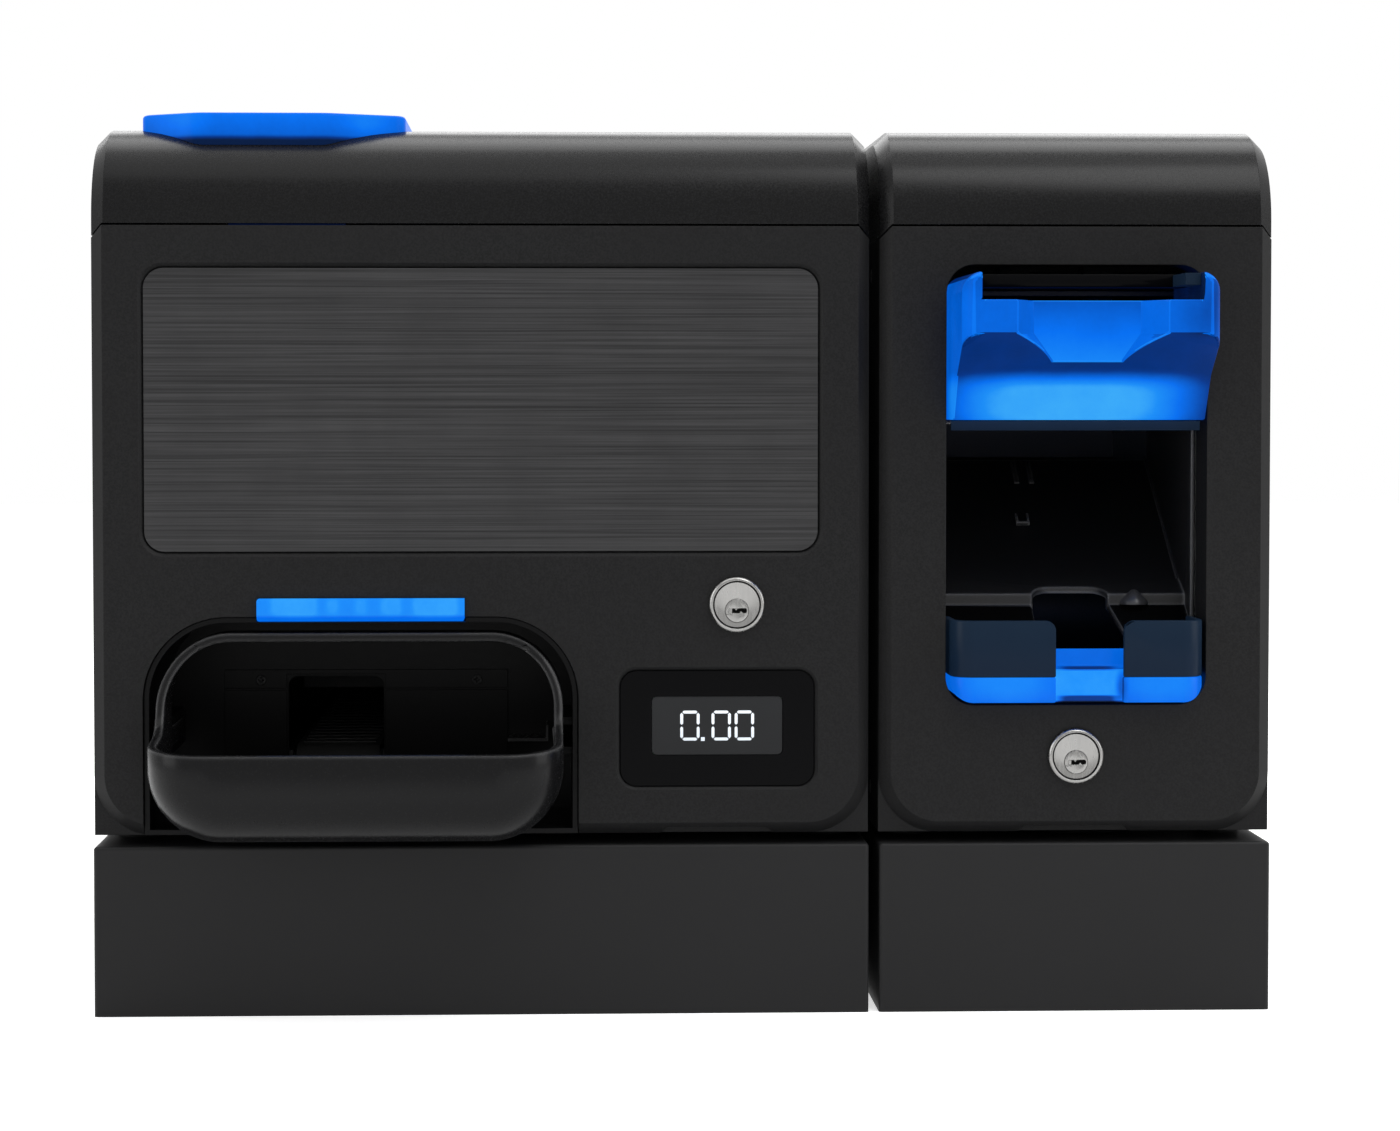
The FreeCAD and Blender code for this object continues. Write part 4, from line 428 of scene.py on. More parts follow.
@dataclass(frozen=True)
class BareMetal:
    """Plated, turned or brushed metal. Streaks run along the axis that has the smallest scale."""

    name: str
    colour: Colour
    shine: float = 0.3
    streaks: Point = (60.0, 900.0, 900.0)
    contrast: float = 0.16
    metallic: float = 1.0
    edge: float = 0.0003

    STAIN_SCALE = 40.0
    STAIN_SPAN = (0.4, 0.7)
    STAIN_SHARE = 0.25
    STREAK_DEPTH = 0.00002

    def make(self) -> bpy.types.Material:
        """Builds the material.

        Returns:
            The new material.
        """
        shader = Shader(self.name)
        streak = shader.noise(1.0, 4.0, shader.mapped(self.streaks))
        stain = shader.noise(self.STAIN_SCALE, 3.0)
        stained = shader.span(stain, *self.STAIN_SPAN, 0.0, self.STAIN_SHARE)
        low, high = toned(self.colour, 1.0 - self.contrast), toned(self.colour, 1.0 + self.contrast)
        tone = shader.blend(shader.span(streak, *NOISE_SPAN, 0.0, 1.0), low, high)
        shader.set(
            Base_Color=shader.blend(stained, tone, low),
            Metallic=self.metallic,
            Roughness=shader.span(streak, *NOISE_SPAN, self.shine - 0.06, self.shine + 0.1),
            Normal=shader.relief(streak, self.STREAK_DEPTH, 0.25, shader.round_edges(self.edge)))
        return shader.material


@dataclass(frozen=True)
class Pool:
    """A soft pool of painted light in a lit moulding, in millimetres; a negative strength paints
    shade.

    The pool is as bright as its strength inside `core`, a share of its reach, and fades from there
    to its edge. A `shape` of 2 is an ellipsoid; larger numbers come closer to a box.
    """

    centre: Point
    reach: Point
    strength: float = 1.0
    core: float = 0.0
    shape: float = 2.0


@dataclass(frozen=True)
class Glow:
    """A translucent moulding lit by lamps behind it, their light painted as glow; pools of negative
    strength and the zone attribute add painted shade and highlights.
    """

    name: str
    pools: tuple[Pool, ...]
    base: float = 0.1
    power: float = 1.0
    shine: float = 0.25
    level: float = 0.05

    STOPS = ((0.0, (0.001, 0.004, 0.020)), (0.25, (0.0005, 0.028, 0.205)),
             (0.6, (0.0005, 0.145, 0.79)), (0.85, (0.010, 0.25, 0.85)), (1.0, (0.042, 0.38, 0.87)))
    BODY = (0.002, 0.01, 0.04)
    BODY_SHARE = 0.9
    GRAIN_SCALE = 500.0
    GRAIN_LIGHT = 0.008
    GRAIN_DEPTH = 0.00001
    CLOUD_SCALE = 70.0
    CLOUD_LIGHT = 0.02
    EDGE = 0.0006

    def pool(self, shader: Shader, pool: Pool) -> Socket:
        """The painted light that one pool gives at every place of the moulding.

        Args:
            shader: Where it is written.
            pool: The pool.

        Returns:
            The light, from 0 to the strength of the pool.
        """
        scale = tuple(1.0 / (reach * MM) for reach in pool.reach)
        shift = tuple(-centre / reach for centre, reach in zip(pool.centre, pool.reach))
        parts = shader.add("ShaderNodeSeparateXYZ")
        shader.feed(parts.inputs[0], shader.mapped(scale, shift))
        total: Socket | float = 0.0
        for axis in parts.outputs:
            away = shader.math("POWER", shader.math("ABSOLUTE", axis), pool.shape)
            total = shader.math("ADD", away, total)
        far = shader.math("POWER", total, 1.0 / pool.shape)
        return shader.span(far, pool.core, 1.0, pool.strength, 0.0, smooth=True)

    def make(self) -> bpy.types.Material:
        """Builds the material.

        Returns:
            The new material.
        """
        shader = Shader(self.name)
        # Painted light and shade: the zone attribute and then every pool are added to the base
        # glow.
        zone = shader.add("ShaderNodeAttribute", attribute_name="zone").outputs["Fac"]
        total = shader.math("ADD", zone, self.base)
        for pool in self.pools:
            total = shader.math("ADD", self.pool(shader, pool), total)
        grain = shader.noise(self.GRAIN_SCALE, 2.0)
        cloud = shader.noise(self.CLOUD_SCALE, 2.0)
        for noise, light in ((grain, self.GRAIN_LIGHT), (cloud, self.CLOUD_LIGHT)):
            total = shader.math("ADD", total, shader.span(noise, *NOISE_SPAN, -light, light))
        tint = shader.ramp(total, *self.STOPS)
        rounded = shader.round_edges(self.EDGE)
        shader.set(Base_Color=shader.blend(self.BODY_SHARE, tint, self.BODY), Emission_Color=tint,
                   Emission_Strength=self.power, Roughness=self.shine,
                   Specular_IOR_Level=self.level,
                   Normal=shader.relief(grain, self.GRAIN_DEPTH, 0.2, rounded))
        return shader.material


@dataclass(frozen=True)
class Circuit:
    """A lacquered circuit board with tracks under the lacquer."""

    name: str
    colour: Colour = (0.006, 0.075, 0.03)
    track: Colour = (0.012, 0.15, 0.06)
    shine: float = 0.3
    pitch: float = 130.0
    mortar: float = 0.03
    depth: float = 0.00004

    def make(self) -> bpy.types.Material:
        """Builds the material.

        Returns:
            The new material.
        """
        shader = Shader(self.name)
        bricks = shader.add("ShaderNodeTexBrick")
        shader.feed(bricks.inputs["Vector"], shader.mapped((self.pitch, self.pitch, self.pitch)))
        bricks.inputs["Mortar Size"].default_value = self.mortar
        lines = bricks.outputs["Fac"]
        shader.set(Base_Color=shader.blend(lines, self.colour, self.track), Roughness=self.shine,
                   Normal=shader.relief(lines, self.depth, 0.4))
        return shader.material


@dataclass(frozen=True)
class Smoked:
    """A dark tinted window or wall; the edges catch light.

    A painted glow stands for what lies behind, and a painted highlight lightens it towards the top.
    """

    name: str
    low: Colour
    high: Colour
    z_low: float
    z_high: float
    shine: float = 0.12
    lit: float = 0.35
    level: float = 0.1

    EDGE = 0.0004
    WAVE_SCALE = 60.0
    WAVE = 0.1

    def make(self) -> bpy.types.Material:
        """Builds the material.

        Returns:
            The new material.
        """
        shader = Shader(self.name)
        parts = shader.add("ShaderNodeSeparateXYZ")
        shader.feed(parts.inputs[0], shader.where)
        # Painted highlight: the tint grows lighter from z_low up to z_high.
        top_highlight = shader.span(parts.outputs["Z"], self.z_low * MM, self.z_high * MM, 0.0, 1.0)
        noise = shader.noise(self.WAVE_SCALE, 2.0)
        wave = shader.span(noise, *NOISE_SPAN, -self.WAVE, self.WAVE)
        tint = shader.blend(shader.math("ADD", top_highlight, wave), self.low, self.high)
        # Painted glow: the tint shines by itself at the strength `lit`.
        shader.set(Base_Color=tint, Emission_Color=tint, Emission_Strength=self.lit,
                   Roughness=self.shine, Specular_IOR_Level=self.level,
                   Normal=shader.round_edges(self.EDGE))
        return shader.material


class Finish(Enum):
    """Every finish on the object, by where it is used."""

    SHELL = Moulding("fascia_plastic", (0.0086, 0.0086, 0.0089), shine=0.5, level=0.13)
    LID = Moulding("lid_plastic", (0.0045, 0.0045, 0.0048), shine=0.25, grain=1300.0,
                   depth=0.000012, level=0.14)
    # The cup's rim tone paints a highlight along its lip and edges.
    CUP = Moulding("cup_moulding", (0.005, 0.005, 0.0054), shine=0.22, speckle=0.15, depth=0.000006,
                   level=0.125, rim=0.0022, edge_highlight_tone=(0.12, 0.12, 0.122))
    NICHE = Moulding("niche_plastic", (0.0028, 0.0028, 0.003), shine=0.34, speckle=0.15,
                     depth=0.00001, level=0.09)
    GLOSS = Moulding("gloss_plastic", (0.003, 0.003, 0.0034), shine=0.14, speckle=0.1,
                     depth=0.000004, level=0.035)
    # The outlet's rim tone paints highlights along its edges, and its sloping floor takes painted
    # shade.
    OUTLET = Moulding("outlet_plastic", (0.013, 0.013, 0.0135), shine=0.34, speckle=0.15,
                      depth=0.00001, level=0.3, rim=0.0022, edge_highlight_tone=(0.24, 0.24, 0.24),
                      shaded=True)
    INNER = Moulding("inner_plastic", (0.022, 0.022, 0.023), shine=0.45, speckle=0.2)
    WHITE = Moulding("natural_plastic", (0.62, 0.61, 0.57), shine=0.4, speckle=0.03, depth=0.00001)
    FOOT = Moulding("foot_compound", (0.010, 0.010, 0.010), shine=0.75, speckle=0.3, grain=900.0,
                    level=0.2)
    TYRE = Moulding("tyre_rubber", (0.035, 0.035, 0.034), shine=0.7, speckle=0.25, grain=2200.0)
    PLINTH = PowderCoat("plinth_paint", (0.0095, 0.0095, 0.010), (0.045, 0.045, 0.047), level=0.2)
    SHEET = PowderCoat("sheet_coat", (0.012, 0.012, 0.0125), (0.05, 0.05, 0.052), shine=0.55)
    MOTOR = PowderCoat("motor_coat", (0.06, 0.06, 0.065), (0.2, 0.2, 0.2), shine=0.4)
    ZINC = BareMetal("zinc_plate", (0.52, 0.53, 0.52), shine=0.34)
    INLAY = BareMetal("brushed_inlay", (0.035, 0.035, 0.036), shine=0.42,
                      streaks=(10.0, 400.0, 1900.0), contrast=0.42, metallic=0.8)
    RAIL = BareMetal("rail_steel", (0.35, 0.35, 0.36), shine=0.36, streaks=(700.0, 20.0, 700.0))
    NICKEL = BareMetal("nickel_plate", (0.27, 0.267, 0.26), shine=0.22, streaks=(700.0, 60.0, 90.0),
                       contrast=0.08)
    BOARD = Circuit("circuit_board")
    # The glowing mouldings paint the light of the lamps inside the machine as pools of glow.
    FUNNEL = Glow("funnel_glow", (
        Pool((-160.0, -160.0, 350.0), (80.0, 90.0, 11.4), 0.46, 0.76, 6.0),
        Pool((-194.0, -205.0, 346.0), (16.0, 30.0, 8.0), 0.12),
        Pool((-124.0, -205.0, 346.0), (14.0, 30.0, 8.0), 0.12)), base=0.12, level=0.02)
    BAR = Glow("bar_glow", (
        Pool((-125.3, -230.0, 159.6), (60.0, 20.0, 4.9), 0.20, 0.75, 8.0),
        Pool((-150.8, -230.0, 159.0), (11.0, 20.0, 5.0), 0.11, 0.7, 5.0),
        Pool((-136.0, -230.0, 159.0), (4.0, 20.0, 5.0), 0.09, 0.3, 3.0),
        Pool((-125.0, -230.0, 159.0), (4.0, 20.0, 5.0), 0.09, 0.3, 3.0),
        Pool((-113.5, -230.0, 159.0), (5.6, 20.0, 5.0), 0.10, 0.5, 4.0),
        Pool((-96.5, -230.0, 159.0), (10.5, 20.0, 5.0), 0.11, 0.7, 5.0)), base=0.60)
    HOOD = Glow("hood_glow", (
        Pool((148.5, -241.0, 237.0), (61.0, 34.0, 14.0), 0.80, 0.40, 4.0),
        # Pools of negative strength paint shade at the hood's left top and right side.
        Pool((196.0, -270.0, 270.0), (18.0, 5.0, 18.0), -0.14),
        Pool((103.0, -266.0, 286.0), (22.0, 60.0, 12.0), -0.10),
        Pool((206.0, -266.0, 284.0), (16.0, 60.0, 30.0), -0.14)), base=0.17, power=0.97, level=0.01)
    TRAY_LIGHT = Glow("tray_glow", (
        Pool((124.0, -238.0, 129.5), (30.0, 6.0, 13.0), 0.22, 0.2),
        Pool((184.0, -238.0, 129.5), (26.0, 6.0, 13.0), 0.20, 0.2),
        # Pools of negative strength paint shade at the insert's right end, in a dark band low on it
        # and in its groove.
        Pool((169.4, -235.0, 127.5), (3.6, 4.0, 9.0), -0.45, 0.2),
        Pool((156.0, -235.0, 122.2), (14.0, 2.2, 2.2), -0.62, 0.6, 6.0),
        Pool((156.0, -233.0, 134.3), (14.0, 5.0, 0.9), -0.4, 0.4, 6.0)), base=0.52)
    # These finishes paint a faint glow, and a highlight that lightens each towards its top height.
    TINT = Smoked("tray_tint", (0.0045, 0.0112, 0.025), (0.0062, 0.0142, 0.028), 134.0, 153.0,
                  shine=0.28, level=0.06)
    STRIP = Smoked("base_tint", (0.003, 0.009, 0.021), (0.006, 0.016, 0.034), 226.0, 230.0,
                   lit=0.5, level=0.06)
    WINDOW = Smoked("display_window", (0.0095, 0.0100, 0.0110), (0.0130, 0.0138, 0.0150), 100.0,
                    124.0, lit=0.3, level=0.15)
    DIGITS = Smoked("display_digits", (0.55, 0.60, 0.66), (0.72, 0.76, 0.80), 104.0, 120.0, lit=0.6)
    # A light grey: the strip along the ramp's edge paints a highlight, and the riser's cone takes
    # it too.
    BEAD = Moulding("polished_edge", (0.05, 0.05, 0.052), shine=0.3, speckle=0.1, depth=0.00001)
    # A near-black fill put in keyways and lock grooves as painted shade.
    KEYWAY = Moulding("keyway_shadow", (0.0015, 0.0015, 0.0015), shine=0.6, level=0.05)
    GOLD = BareMetal("contact_gold", (0.72, 0.50, 0.20), shine=0.24, contrast=0.06)

    @property
    def material(self) -> bpy.types.Material:
        """The finish's material, made the first time it is asked for."""
        return bpy.data.materials.get(self.value.name) or self.value.make()


# ---------------------------------------------------------------- meshes


def add_piece(name: str, mesh: bpy.types.Mesh, finish: Finish | None = None) -> bpy.types.Object:
    """Puts a mesh in the scene as an object at the origin.

    Args:
        name: The piece's name.
        mesh: Its mesh, with its place in it.
        finish: Its material, unless the mesh has one.

    Returns:
        The new object.
    """
    piece = bpy.data.objects.new(name, mesh)
    bpy.context.scene.collection.objects.link(piece)
    if finish is not None:
        mesh.materials.clear()
        mesh.materials.append(finish.material)
    return piece


def to_mesh(name: str, work: bmesh.types.BMesh, smooth: float = 30.0) -> bpy.types.Mesh:
    """Turns mesh work into a mesh with outward faces, smooth below an angle in degrees.

    Args:
        name: The mesh's name.
        work: The mesh work, which is freed.
        smooth: The angle, in degrees.

    Returns:
        The mesh.
    """
    bmesh.ops.remove_doubles(work, verts=work.verts, dist=WELD)
    bmesh.ops.recalc_face_normals(work, faces=work.faces)
    for face in work.faces:
        face.smooth = True
    limit = math.radians(smooth)
    for edge in work.edges:
        edge.smooth = len(edge.link_faces) == 2 and edge.calc_face_angle(0.0) < limit
    mesh = bpy.data.meshes.new(name)
    work.to_mesh(mesh)
    work.free()
    return mesh


def copy_of(node: bpy.types.Object) -> bmesh.types.BMesh:
    """A CAD node's surface as merged mesh work, with flat pairs of triangles joined.

    Args:
        node: The CAD node.

    Returns:
        Mesh work in the frame of the scene.
    """
    work = bmesh.new()
    work.from_mesh(node.data)
    work.transform(node.matrix_world)
    bmesh.ops.remove_doubles(work, verts=work.verts, dist=CAD_WELD)
    bmesh.ops.join_triangles(work, faces=work.faces, angle_face_threshold=math.radians(FLAT_ANGLE),
                             angle_shape_threshold=math.pi)
    return work


def rectangle(x0: float, x1: float, z0: float, z1: float) -> list[Pair]:
    """The corners of an upright rectangle, in millimetres."""
    return [(x0, z0), (x1, z0), (x1, z1), (x0, z1)]


def soften_edges(work: bmesh.types.BMesh, width: float, angle: float, steps: int = 2) -> None:
    """Rounds the edges that turn by more than an angle, by a width in millimetres.

    Args:
        work: What is changed.
        width: Of the rounds, in millimetres.
        angle: The angle, in degrees.
        steps: Faces across a round.
    """
    limit = math.radians(angle)
    sharp = [edge for edge in work.edges
             if len(edge.link_faces) == 2 and edge.calc_face_angle(0.0) > limit
             and edge.calc_length() > width * MM * 0.5]
    bmesh.ops.bevel(work, geom=sharp, offset=width * MM, offset_type="OFFSET", segments=steps,
                    profile=0.5, affect="EDGES", clamp_overlap=False, loop_slide=True,
                    miter_outer="ARC")


def prism(work: bmesh.types.BMesh, outline: list[Pair], y_low: float, y_high: float) -> None:
    """Adds a solid with an outline in X and Z and its depth along Y, in millimetres.

    Args:
        work: The mesh work that it goes into.
        outline: Its corners in order, as x and z.
        y_low: Where it starts.
        y_high: Where it ends.
    """
    rings = [[work.verts.new(mm(x, y, z)) for x, z in outline] for y in (y_low, y_high)]
    work.faces.new(rings[0])
    work.faces.new(rings[1])
    for i in range(len(outline)):
        j = (i + 1) % len(outline)
        work.faces.new((rings[0][i], rings[0][j], rings[1][j], rings[1][i]))


def lathe(work: bmesh.types.BMesh, profile: Sequence[Pair], centre: Point, steps: int = 48,
          closed: bool = False) -> None:
    """Adds a solid turned about an axis along Y.

    Args:
        work: The mesh work that it goes into.
        profile: (radius, y) from axis to axis, or round the section of a ring.
        centre: Of the axis, in millimetres.
        steps: Sides of the round.
        closed: Whether the profile is a ring's.
    """
    rings = []
    for radius, y in profile:
        if radius == 0.0:
            rings.append([work.verts.new(mm(centre[0], centre[1] + y, centre[2]))])
            continue
        rings.append([work.verts.new(mm(
            centre[0] + radius * math.cos(math.tau * i / steps), centre[1] + y,
            centre[2] + radius * math.sin(math.tau * i / steps))) for i in range(steps)])
    for first, second in zip(rings, rings[1:] + rings[:1] if closed else rings[1:]):
        for i in range(steps):
            j = (i + 1) % steps
            corners = [first[i % len(first)], first[j % len(first)],
                       second[j % len(second)], second[i % len(second)]]
            unique = list(dict.fromkeys(corners))
            if len(unique) > 2:
                work.faces.new(unique)


def screw_head(radius: float, thick: float, recess: float) -> bpy.types.Object:
    """A flat screw head with a cross recess; its top faces +Z and its middle is the origin.

    Args:
        radius: Of the head, in millimetres.
        thick: Height of the head.
        recess: Reach of the cross from the middle.

    Returns:
        An object that stands for one head, to be repeated.
    """
    work = bmesh.new()
    steps, arm, edge = HEAD_STEPS, recess * ARM_SHARE, radius * EDGE_SHARE
    rim = [(radius, 0.0), (radius, thick - edge), (radius - edge, thick)]
    angles = [math.tau * i / steps for i in range(steps)]
    rings = [[work.verts.new(mm(r * math.cos(angle), r * math.sin(angle), z)) for angle in angles]
             for r, z in rim]
    for first, second in zip(rings, rings[1:]):
        for i in range(steps):
            j = (i + 1) % steps
            work.faces.new((first[i], first[j], second[j], second[i]))
    work.faces.new(rings[0])
    cross = [(recess, -arm), (recess, arm), (arm, arm), (arm, recess), (-arm, recess),
             (-arm, arm), (-recess, arm), (-recess, -arm), (-arm, -arm), (-arm, -recess),
             (arm, -recess), (arm, -arm)]
    high = [work.verts.new(mm(x, y, thick)) for x, y in cross]
    taper, floor = RECESS_TAPER, thick * RECESS_FLOOR
    deep = [work.verts.new(mm(x * taper, y * taper, floor)) for x, y in cross]
    for i in range(len(cross)):
        j = (i + 1) % len(cross)
        work.faces.new((high[i], high[j], deep[j], deep[i]))
    work.faces.new(deep)
    loops = [work.edges.get((ring[i], ring[(i + 1) % len(ring)])) for ring in (rings[-1], high)
             for i in range(len(ring))]
    bmesh.ops.triangle_fill(work, use_beauty=True, edges=loops)
    return bpy.data.objects.new("screw_head", to_mesh("screw_head", work))


def block(width: float, depth: float, height: float, edge: float = 0.2) -> bpy.types.Object:
    """A small block with rounded edges, standing on the origin, to be repeated.

    Args:
        width: Along X, in millimetres.
        depth: Along Y.
        height: Along Z.
        edge: Width of the rounds.

    Returns:
        An object that stands for one block.
    """
    work = bmesh.new()
    size = Matrix.Diagonal((*mm(width, depth, height), 1.0))
    raised = Matrix.Translation(mm(0.0, 0.0, height / 2))
    bmesh.ops.create_cube(work, size=1.0, matrix=raised @ size)
    bmesh.ops.bevel(work, geom=work.edges[:], offset=edge * MM, segments=2, profile=0.5,
                    affect="EDGES")
    return bpy.data.objects.new("block", to_mesh("block", work))


def carve(piece: bpy.types.Object, cutter: bmesh.types.BMesh) -> bpy.types.Object:
    """Cuts mesh work out of a piece and keeps the outcome as a plain mesh.

    Args:
        piece: What is cut.
        cutter: Closed shapes to cut away.

    Returns:
        The same piece.
    """
    finish = piece.data.materials[0]
    tool = add_piece(f"{piece.name}_tool", to_mesh("tool", cutter))
    modifier = piece.modifiers.new("carve", "BOOLEAN")
    modifier.operation = "DIFFERENCE"
    modifier.solver = "EXACT"
    modifier.object = tool
    graph = bpy.context.evaluated_depsgraph_get()
    rough = bpy.data.meshes.new_from_object(piece.evaluated_get(graph))
    piece.modifiers.remove(modifier)
    bpy.data.objects.remove(tool)
    work = bmesh.new()
    work.from_mesh(rough)
    bpy.data.meshes.remove(rough)
    piece.data = to_mesh(piece.name, work)
    piece.data.materials.clear()
    piece.data.materials.append(finish)
    return piece


def facing(direction: Point, spin: float = 0.0) -> Point:
    """Euler angles that spin a shape about +Z and then turn +Z to a direction.

    Args:
        direction: Where +Z is turned to.
        spin: How far the shape is spun first, in degrees.

    Returns:
        The angles, in degrees.
    """
    spun = Matrix.Rotation(math.radians(spin), 3, "Z")
    turn = Vector(direction).to_track_quat("Z", "Y").to_matrix() @ spun
    return tuple(math.degrees(angle) for angle in turn.to_euler())


class Repeat:
    """A Geometry Nodes tree that sets one shape down at many places, and becomes one mesh."""

    INPUTS = (("Shape", "NodeSocketObject"), ("Finish", "NodeSocketMaterial"),
              ("Size", "NodeSocketFloat"))

    def __init__(self, name: str) -> None:
        """Builds the tree: points, instances at the points' own angles, real geometry, finish.

        Args:
            name: Of the tree and of the piece that it makes.
        """
        self.name = name
        self.tree = tree = bpy.data.node_groups.new(name, "GeometryNodeTree")
        tree.interface.new_socket("Geometry", in_out="INPUT", socket_type="NodeSocketGeometry")
        self.keys = {}
        for label, kind in self.INPUTS:
            socket = tree.interface.new_socket(label, in_out="INPUT", socket_type=kind)
            self.keys[label] = socket.identifier
        tree.interface.new_socket("Geometry", in_out="OUTPUT", socket_type="NodeSocketGeometry")
        start, end = tree.nodes.new("NodeGroupInput"), tree.nodes.new("NodeGroupOutput")
        shape = tree.nodes.new("GeometryNodeObjectInfo")
        turn = tree.nodes.new("GeometryNodeInputNamedAttribute")
        turn.data_type = "FLOAT_VECTOR"
        turn.inputs["Name"].default_value = "turn"
        euler = tree.nodes.new("FunctionNodeEulerToRotation")
        spread = tree.nodes.new("GeometryNodeInstanceOnPoints")
        real = tree.nodes.new("GeometryNodeRealizeInstances")
        finish = tree.nodes.new("GeometryNodeSetMaterial")
        link = tree.links.new
        link(start.outputs["Geometry"], spread.inputs["Points"])
        link(start.outputs["Shape"], shape.inputs["Object"])
        link(shape.outputs["Geometry"], spread.inputs["Instance"])
        link(turn.outputs["Attribute"], euler.inputs[0])
        link(euler.outputs[0], spread.inputs["Rotation"])
        link(start.outputs["Size"], spread.inputs["Scale"])
        link(spread.outputs[0], real.inputs[0])
        link(real.outputs[0], finish.inputs["Geometry"])
        link(start.outputs["Finish"], finish.inputs["Material"])
        link(finish.outputs[0], end.inputs[0])

    def make(self, shape: bpy.types.Object, finish: Finish, places: list[Point],
             turn: Point = (0.0, 0.0, 0.0), turns: list[Point] | None = None) -> bpy.types.Object:
        """Runs the tree once and keeps the outcome as a plain mesh.

        Args:
            shape: What is repeated; it is removed afterwards.
            finish: Its material.
            places: Where, in millimetres.
            turn: Euler angles in degrees of every copy.
            turns: Angles of each copy, where they differ.

        Returns:
            The finished piece.
        """
        points = bpy.data.meshes.new(self.name)
        points.from_pydata([mm(*place) for place in places], [], [])
        angles = points.attributes.new("turn", "FLOAT_VECTOR", "POINT")
        for item, angle in zip(angles.data, turns or [turn] * len(places)):
            item.vector = [math.radians(value) for value in angle]
        holder = add_piece(self.name, points)
        bpy.context.scene.collection.objects.link(shape)
        modifier = holder.modifiers.new(self.name, "NODES")
        modifier.node_group = self.tree
        modifier[self.keys["Shape"]] = shape
        modifier[self.keys["Finish"]] = finish.material
        modifier[self.keys["Size"]] = 1.0
        graph = bpy.context.evaluated_depsgraph_get()
        mesh = bpy.data.meshes.new_from_object(holder.evaluated_get(graph))
        holder.modifiers.remove(modifier)
        holder.data = mesh
        mesh.name = self.name
        bpy.data.meshes.remove(points)
        bpy.data.objects.remove(shape)
        return holder


def islands(node: bpy.types.Object) -> list[tuple[Vector, Vector]]:
    """Lowest and highest corner, in millimetres, of each separate solid of a CAD node.

    Args:
        node: The CAD node.

    Returns:
        The boxes, from left to right.
    """
    work = copy_of(node)
    left, boxes = set(work.verts), []
    while left:
        reached = [left.pop()]
        for vert in reached:
            for edge in vert.link_edges:
                other = edge.other_vert(vert)
                if other in left:
                    left.discard(other)
                    reached.append(other)
        corners = list(zip(*(vert.co / MM for vert in reached)))
        boxes.append((Vector(map(min, corners)), Vector(map(max, corners))))
    work.free()
    return sorted(boxes, key=lambda box: tuple(box[0]))


@dataclass
class Cabinet:
    """The loaded frame, and what is done to its nodes."""

    nodes: dict[str, bpy.types.Object]

    def paint(self, finish: Finish, *names: str) -> None:
        """Gives CAD nodes a finish.

        Args:
            finish: The finish.
            names: The nodes' names.
        """
        for name in names:
            node = self.nodes[name]
            if not node.material_slots:
                node.data.materials.append(finish.material)
            for slot in node.material_slots:
                slot.material = finish.material
            LOG.info("%s: %s", name, finish.value.name)

    def soften(self, name: str, body: str, slot: str, finish: Finish, width: float,
               angle: float = 38.0, zones: Zones | None = None) -> bpy.types.Object:
        """Puts a copy with rounded edges in a CAD node's place.

        Args:
            name: The node's name; the piece is called the same with _soft behind it.
            body: The body it rides on.
            slot: Its material slot.
            finish: Its finish.
            width: How wide the rounds are, in millimetres.
            angle: Edges that turn by more than this many degrees are rounded.
            zones: The painted light and shade at a corner of a face, from the face's normal, its
                middle and the corner, both in millimetres.

        Returns:
            The new piece.
        """
        work = copy_of(self.nodes[name])
        soften_edges(work, width, angle)
        mesh = to_mesh(f"{name}_soft", work)
        # The zone attribute holds the painted light and shade for each corner of a face.
        if zones is not None:
            light = mesh.attributes.new("zone", "FLOAT", "CORNER")
            for face in mesh.polygons:
                for loop in face.loop_indices:
                    corner = mesh.vertices[mesh.loops[loop].vertex_index].co / MM
                    light.data[loop].value = zones(face.normal, face.center / MM, corner)
        return self.settle(add_piece(mesh.name, mesh, finish), body, slot, name)

    def settle(self, piece: bpy.types.Object, body: str, slot: str,
               *replaced: str) -> bpy.types.Object:
        """Makes a finished piece ride on a body and hides the nodes it stands for.

        Args:
            piece: The piece.
            body: The body it rides on.
            slot: Its material slot; not used.
            replaced: CAD nodes that it stands for.

        Returns:
            The same piece.
        """
        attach(piece, body)
        if replaced:
            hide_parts(*replaced)
        LOG.info("%s: %d faces on %s", piece.name, len(piece.data.polygons), body)
        return piece


# ---------------------------------------------------------------- sub-assemblies


@dataclass
class Casings:
    """Plinths, sheet-metal cases, covers, feet and fastenings.

    `head` is a screw head's radius, thickness and recess. `right_sides` are the X of the covers on
    the right of each module, and a head reaches at most `head_reach` beyond its cover. Each head is
    turned by `spin_step` degrees more than the one before.
    """

    cabinet: Cabinet
    head: ThreeLengths = (3.2, 1.2, 1.9)
    head_reach: float = 2.0
    right_sides: Pair = (70.0, 227.0)
    spin_step: float = 37.0

    def build(self) -> None:
        """Dresses the casings."""
        self.cabinet.paint(Finish.PLINTH, "coin_plinth", "note_plinth")
        self.cabinet.paint(Finish.SHEET, "coin_chassis", "note_chassis", "coin_side_covers",
                           "note_side_covers")
        self.cabinet.paint(Finish.FOOT, "module_feet")
        self.cabinet.paint(Finish.ZINC, "module_tie", "lid_hinge_pins")
        self.put_screws()

    def put_screws(self) -> None:
        """Cross-recessed heads in the side covers, each facing away from its module."""
        places, turns = [], []
        spin = 0.0
        for low, high in islands(self.cabinet.nodes["case_screws"]):
            middle = (low + high) / 2
            to_right = any(0.0 < high.x - side < self.head_reach for side in self.right_sides)
            spin += self.spin_step
            places.append((low.x if to_right else high.x, middle.y, middle.z))
            turns.append(facing((1.0 if to_right else -1.0, 0.0, 0.0), spin))
        head = screw_head(*self.head)
        screws = Repeat("cover_screws").make(head, Finish.ZINC, places, turns=turns)
        self.cabinet.settle(screws, "frame", "zinc_steel", "case_screws")


